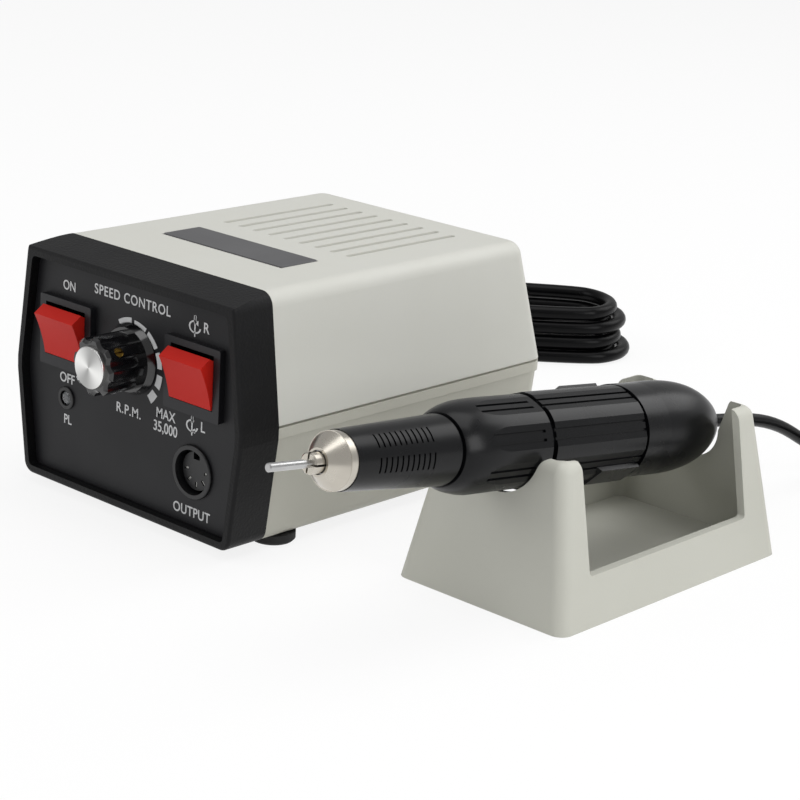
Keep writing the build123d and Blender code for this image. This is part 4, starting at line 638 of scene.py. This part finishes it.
# %% Bare metal on the pins of the mains plug
PIN_LONG = 19.0
PIN_MARGIN = 0.5
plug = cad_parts["mains_plug"]
reaches = [-hank_dir.dot(plug.matrix_world @ corner.co) for corner in plug.data.vertices]
pin_root = max(reaches) - (PIN_LONG - PIN_MARGIN) * MM
plug.data.materials.append(finishes["steel_plated"])
for face in plug.data.polygons:
    face.material_index = int(-hank_dir.dot(plug.matrix_world @ face.center) > pin_root)
print("pin faces", sum(face.material_index for face in plug.data.polygons))

# %% [markdown]
# ## Printed marks
# The words and the speed scale on the panel are screen printed: a film of pale ink, a few
# hundredths of a millimetre thick. Text objects give the letters. Each is turned into a mesh,
# stood up against the panel and left just proud of it.

# %% Words on the panel
INK = 0.04
INK_LIFT = 0.02
INK_Y = PANEL_Y - INK / 2 - INK_LIFT
LETTER_SWELL = 0.012


def settle(piece, body, finish_name):
    """Applies a new piece's place, gives it its finish and sets it on its body."""
    bpy.ops.object.select_all(action="DESELECT")
    piece.select_set(True)
    bpy.context.view_layer.objects.active = piece
    bpy.ops.object.transform_apply(location=True, rotation=True, scale=True)
    piece.data.materials.clear()
    piece.data.materials.append(finishes[finish_name])
    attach(piece, body)
    piece.select_set(False)


def print_word(name, text, x, z, size, spacing=1.0, narrow=1.0):
    """A word on the panel, centred on x and z, with its letter size in mm."""
    bpy.ops.object.text_add(location=(0, 0, 0))
    word = bpy.context.object
    word.name = name
    word.data.body = text
    word.data.size = size * MM
    word.data.space_character = spacing
    word.data.align_x = "CENTER"
    word.data.align_y = "CENTER"
    word.data.extrude = INK / 2 * MM
    word.data.offset = LETTER_SWELL * size * MM
    bpy.ops.object.convert(target="MESH")
    word = bpy.context.object
    word.location = metres(BOX_X + x, INK_Y, z)
    word.rotation_euler = (math.pi / 2, 0, 0)
    word.scale = (narrow, 1, 1)
    settle(word, "base", "screen_print_white")


WORDS = [
    ("word_on", "ON", -29.3, 66.2, 4.2, 1.0, 0.9),
    ("word_off", "OFF", -29.8, 36.8, 4.3, 1.0, 0.95),
    ("word_speed_control", "SPEED CONTROL", -0.5, 68.1, 4.3, 1.12, 0.93),
    ("word_rpm", "R.P.M.", -1.0, 33.7, 4.3, 1.1, 0.95),
    ("word_max", "MAX", 15.6, 36.5, 4.4, 1.0, 0.9),
    ("word_max_number", "35,000", 15.6, 32.3, 4.6, 1.0, 0.86),
    ("word_pilot_lamp", "PL", -29.4, 23.6, 4.2, 1.0, 0.9),
    ("word_output", "OUTPUT", 28.0, 9.7, 4.3, 1.05, 0.92),
    ("word_right", "R", 32.0, 66.7, 4.4, 1.0, 0.95),
    ("word_left", "L", 31.8, 36.8, 4.4, 1.0, 0.95),
]
for row in WORDS:
    print_word(*row)
print("words", len(WORDS))

# %% [markdown]
# The speed scale is a ring of blocks around the knob that grow thicker towards full speed. A
# block is one short edge spun around the knob's axis, then given the ink's thickness.

# %% Speed scale around the knob
def spun_band(name, centre_x, centre_z, inner, outer, start, stop, steps, widen=0.0, squash=1.0):
    """A flat band of ink from one angle to another; its outside grows by widen along its length."""
    middle = metres(BOX_X + centre_x, PANEL_Y - INK_LIFT, centre_z)
    bpy.ops.mesh.primitive_plane_add(size=1.0, location=(0, 0, 0))
    band = bpy.context.object
    band.name = name
    bpy.ops.object.mode_set(mode="EDIT")
    mesh = bmesh.from_edit_mesh(band.data)
    far = [v for v in mesh.verts if v.co.y > 0]
    bmesh.ops.delete(mesh, geom=far, context="VERTS")
    ends = sorted(mesh.verts, key=lambda v: v.co.x)
    for vertex, radius in zip(ends, (inner, outer)):
        turn = math.radians(start)
        vertex.co = middle + metres(radius * math.cos(turn), 0, radius * math.sin(turn))
    bmesh.update_edit_mesh(band.data)
    bpy.ops.mesh.select_all(action="SELECT")
    bpy.ops.mesh.spin(
        steps=steps, angle=math.radians(start - stop), center=middle, axis=(0, 1, 0)
    )
    mesh = bmesh.from_edit_mesh(band.data)
    for vertex in mesh.verts:
        arm = vertex.co - middle
        reach = arm.length / MM
        if widen and reach > (inner + outer) / 2:
            angle = math.degrees(math.atan2(arm.z, arm.x))
            share = (start - angle) / (start - stop)
            vertex.co = middle + arm.normalized() * (reach + widen * share) * MM
        vertex.co.z = middle.z + (vertex.co.z - middle.z) * squash
    bmesh.update_edit_mesh(band.data)
    bpy.ops.mesh.select_all(action="SELECT")
    bpy.ops.mesh.extrude_region_move(TRANSFORM_OT_translate={"value": (0, -INK * MM, 0)})
    bpy.ops.mesh.select_all(action="SELECT")
    bpy.ops.mesh.normals_make_consistent(inside=False)
    bpy.ops.object.mode_set(mode="OBJECT")
    settle(band, "base", "screen_print_white")


SCALE_X = 0.2
SCALE_Z = KNOB_Z - 0.8
SCALE_INNER = 11.3
SCALE_BLOCKS = [
    (130, 97, 0.5, 1.6),
    (93, 66, 2.0, 0.1),
    (62, 37, 1.6, 0.1),
    (31, 5, 1.7, 0.1),
    (2, -21, 2.0, 0.1),
    (-26, -45, 2.4, 0.1),
    (-51, -67, 2.8, 0.1),
]
for number, (start, stop, thick, grow) in enumerate(SCALE_BLOCKS):
    steps = max(6, abs(start - stop) // 4)
    outer = SCALE_INNER + thick
    spun_band(
        "scale_block_%d" % number, SCALE_X, SCALE_Z, SCALE_INNER, outer, start, stop, steps, grow
    )
print("scale blocks", len(SCALE_BLOCKS))

# %% [markdown]
# Beside R and L stands a small sign for the turning direction: an upright bur with an arrow
# bent around it. It is built from the same spun band, a thin bar and a three-cornered head.

# %% Turning signs
def flat_bar(name, x, z, wide, high):
    """A thin upright bar of ink on the panel."""
    bpy.ops.mesh.primitive_cube_add(size=1.0, location=metres(BOX_X + x, INK_Y, z))
    bar = bpy.context.object
    bar.name = name
    bar.scale = (wide * MM, INK * MM, high * MM)
    bpy.ops.object.transform_apply(location=False, rotation=True, scale=True)
    bpy.ops.object.mode_set(mode="EDIT")
    bpy.ops.mesh.select_all(action="SELECT")
    bpy.ops.mesh.bevel(offset=wide * 0.3 * MM, segments=2, affect="VERTICES")
    bpy.ops.object.mode_set(mode="OBJECT")
    settle(bar, "base", "screen_print_white")


def arrow_head(name, x, z, size, turn):
    """A three-cornered head of ink that points along its turn."""
    bpy.ops.mesh.primitive_cylinder_add(
        vertices=3,
        radius=size * MM,
        depth=INK * MM,
        location=metres(BOX_X + x, INK_Y, z),
        rotation=(math.pi / 2, turn, 0),
    )
    head = bpy.context.object
    head.name = name
    settle(head, "base", "screen_print_white")


SIGN_X = 27.2
SIGNS = [("right", 66.5, 1), ("left", 36.6, -1)]
for name, sign_z, way in SIGNS:
    arc_z = sign_z - 0.3
    flat_bar("sign_bur_" + name, SIGN_X, sign_z, 0.5, 6.4)
    flat_bar("sign_shank_" + name, SIGN_X, sign_z + 1.9, 1.0, 2.4)
    spun_band("sign_arc_" + name, SIGN_X, arc_z, 2.0, 2.6, 70, -215, 20, squash=0.75)
    arrow_head("sign_head_" + name, SIGN_X + 0.9, sign_z + 1.3 * way - 0.3, 0.95, -math.pi / 2)
print("turning signs", len(SIGNS))

# %% [markdown]
# ## Knob pointer
# A white wedge let into the knob's front rim shows where it points. It turns with the knob,
# so it rides on the knob's body.

# %% White pointer on the knob's rim
POINTER_TURN = math.radians(218)
POINTER_Y = PANEL_Y - 15.5
POINTER_PROUD = 0.05
POINTER_THICK = 0.3
# Row of the grid: how far out it lies, half its width and how far back it bends over the rim.
POINTER_ROWS = {-1: (6.45, 0.95, 0.0), 0: (8.1, 0.6, 0.0), 1: (9.0, 0.2, 0.9)}
bpy.ops.mesh.primitive_grid_add(x_subdivisions=1, y_subdivisions=2, size=2.0, location=(0, 0, 0))
pointer = bpy.context.object
pointer.name = "knob_pointer"
bpy.ops.object.mode_set(mode="EDIT")
mesh = bmesh.from_edit_mesh(pointer.data)
arm = Vector((math.cos(POINTER_TURN), 0, math.sin(POINTER_TURN)))
across_arm = Vector((-math.sin(POINTER_TURN), 0, math.cos(POINTER_TURN)))
for vertex in mesh.verts:
    reach, half, bend = POINTER_ROWS[round(vertex.co.y)]
    side = half * (1 if vertex.co.x > 0 else -1)
    root = Vector((BOX_X, POINTER_Y + bend - POINTER_PROUD, KNOB_Z))
    vertex.co = (root + arm * reach + across_arm * side) * MM
bmesh.update_edit_mesh(pointer.data)
bpy.ops.mesh.select_all(action="SELECT")
bpy.ops.mesh.extrude_region_move(TRANSFORM_OT_translate={"value": (0, POINTER_THICK * MM, 0)})
bpy.ops.mesh.select_all(action="SELECT")
bpy.ops.mesh.normals_make_consistent(inside=False)
bpy.ops.object.mode_set(mode="OBJECT")
settle(pointer, "speed_knob", "screen_print_white")

# %% [markdown]
# ## Socket contacts
# Five sprung contacts sit in the slots of the output socket, on a half circle under the keyway.
# Each is a little tube of sheet metal, pressed flat: a cube whose front face is inset and pushed
# in, then turned around the socket's middle.

# %% Flattened contact tubes
SOCKET_X = 28.3
SOCKET_Z = 22.4
CONTACT_RING = 4.2
CONTACT_COUNT = 5
CONTACT_WIDE = 1.5
CONTACT_LONG = 6.0
CONTACT_HIGH = 0.64
CONTACT_WALL = 0.16
CONTACT_BORE = CONTACT_LONG * 0.7
CONTACT_FRONT = PANEL_Y + 1.5


def contact_tube(number, turn):
    """One contact, with its wide side along the socket's radius at this turn in degrees."""
    bpy.ops.mesh.primitive_cube_add(size=1.0, location=(0, 0, 0))
    tube = bpy.context.object
    tube.name = "socket_contact_%d" % number
    tube.scale = metres(CONTACT_WIDE, CONTACT_LONG, CONTACT_HIGH)
    bpy.ops.object.transform_apply(scale=True)
    bpy.ops.object.mode_set(mode="EDIT")
    bpy.ops.mesh.select_all(action="DESELECT")
    mesh = bmesh.from_edit_mesh(tube.data)
    mesh.normal_update()
    for face in mesh.faces:
        face.select_set(face.normal.y < -0.9)
    bmesh.update_edit_mesh(tube.data)
    bpy.ops.mesh.inset(thickness=CONTACT_WALL * MM)
    bpy.ops.mesh.extrude_region_move(TRANSFORM_OT_translate={"value": (0, CONTACT_BORE * MM, 0)})
    bpy.ops.object.mode_set(mode="OBJECT")
    angle = math.radians(turn)
    tube.rotation_euler = (0, -angle, 0)
    tube.location = metres(
        BOX_X + SOCKET_X + CONTACT_RING * math.cos(angle),
        CONTACT_FRONT + CONTACT_LONG / 2,
        SOCKET_Z + CONTACT_RING * math.sin(angle),
    )
    settle(tube, "base", "steel_plated")


for number in range(CONTACT_COUNT):
    contact_tube(number, 180 + 180 / (CONTACT_COUNT - 1) * number)
print("contacts", CONTACT_COUNT)

# %% [markdown]
# ## Stage, light and hand-over
# A white table and soft studio lamps. The table sends its own white to the camera and to
# reflections, and keeps the shadow, so no lamp has to be turned up to whiten it.

# %% White table
TABLE_SIZE = 6.0
TABLE_OWN_WHITE = 0.85
bpy.ops.mesh.primitive_plane_add(size=TABLE_SIZE, location=(0, 0, 0))
table = bpy.context.object
table.name = "table"
material, tree, shader = new_finish("table_white", "#F2F2F2", 0.9)
paths = add_node(tree, "ShaderNodeLightPath")
seen = add_node(
    tree,
    "ShaderNodeMath",
    {0: paths.outputs["Is Camera Ray"], 1: paths.outputs["Is Glossy Ray"]},
    operation="MAXIMUM",
)
seen = add_node(
    tree,
    "ShaderNodeMath",
    {0: seen.outputs[0], 1: paths.outputs["Is Transmission Ray"]},
    operation="MAXIMUM",
)
share = add_node(
    tree, "ShaderNodeMath", {0: seen.outputs[0], 1: TABLE_OWN_WHITE}, operation="MULTIPLY"
)
white = add_node(tree, "ShaderNodeEmission", {"Color": (1, 1, 1, 1), "Strength": 1.0})
blend_node = add_node(
    tree,
    "ShaderNodeMixShader",
    {0: share.outputs[0], 1: shader.outputs["BSDF"], 2: white.outputs["Emission"]},
)
tree.links.new(blend_node.outputs["Shader"], tree.nodes["Material Output"].inputs["Surface"])
table.data.materials.append(material)

# %% Studio lamps and sky
SKY_LIGHT = 0.46
SKY_SEEN = 1.0
world = bpy.data.worlds.new("studio")
bpy.context.scene.world = world
world.use_nodes = True
sky = world.node_tree
paths = add_node(sky, "ShaderNodeLightPath")
seen = add_node(
    sky,
    "ShaderNodeMath",
    {0: paths.outputs["Is Camera Ray"], 1: paths.outputs["Is Transmission Ray"]},
    operation="MAXIMUM",
)
level_node = add_node(
    sky,
    "ShaderNodeMapRange",
    {"Value": seen.outputs[0], "To Min": SKY_LIGHT, "To Max": SKY_SEEN},
)
backdrop = sky.nodes["Background"]
backdrop.inputs["Color"].default_value = (1, 1, 1, 1)
sky.links.new(level_node.outputs["Result"], backdrop.inputs["Strength"])


def soft_lamp(name, place, target, size, watts):
    """A square lamp that looks at a point."""
    lamp = bpy.data.lights.new(name, "AREA")
    lamp.size = size
    lamp.energy = watts
    holder = bpy.data.objects.new(name, lamp)
    bpy.context.scene.collection.objects.link(holder)
    holder.location = place
    aim = Vector(target) - Vector(place)
    holder.rotation_euler = aim.to_track_quat("-Z", "Y").to_euler()


soft_lamp("lamp_above", (0.1, 0.1, 1.3), (0, 0, 0), 1.1, 7.8)
soft_lamp("lamp_right", (1.3, 0.1, 0.6), (0, 0, 0.04), 0.8, 7.0)
soft_lamp("lamp_front", (-0.7, -1.1, 0.8), (0, 0, 0.04), 0.8, 4.4)
soft_lamp("lamp_behind", (0.25, 1.1, 0.75), (0.07, 0, 0.05), 0.7, 3.0)
bpy.context.scene.view_settings.view_transform = "Standard"
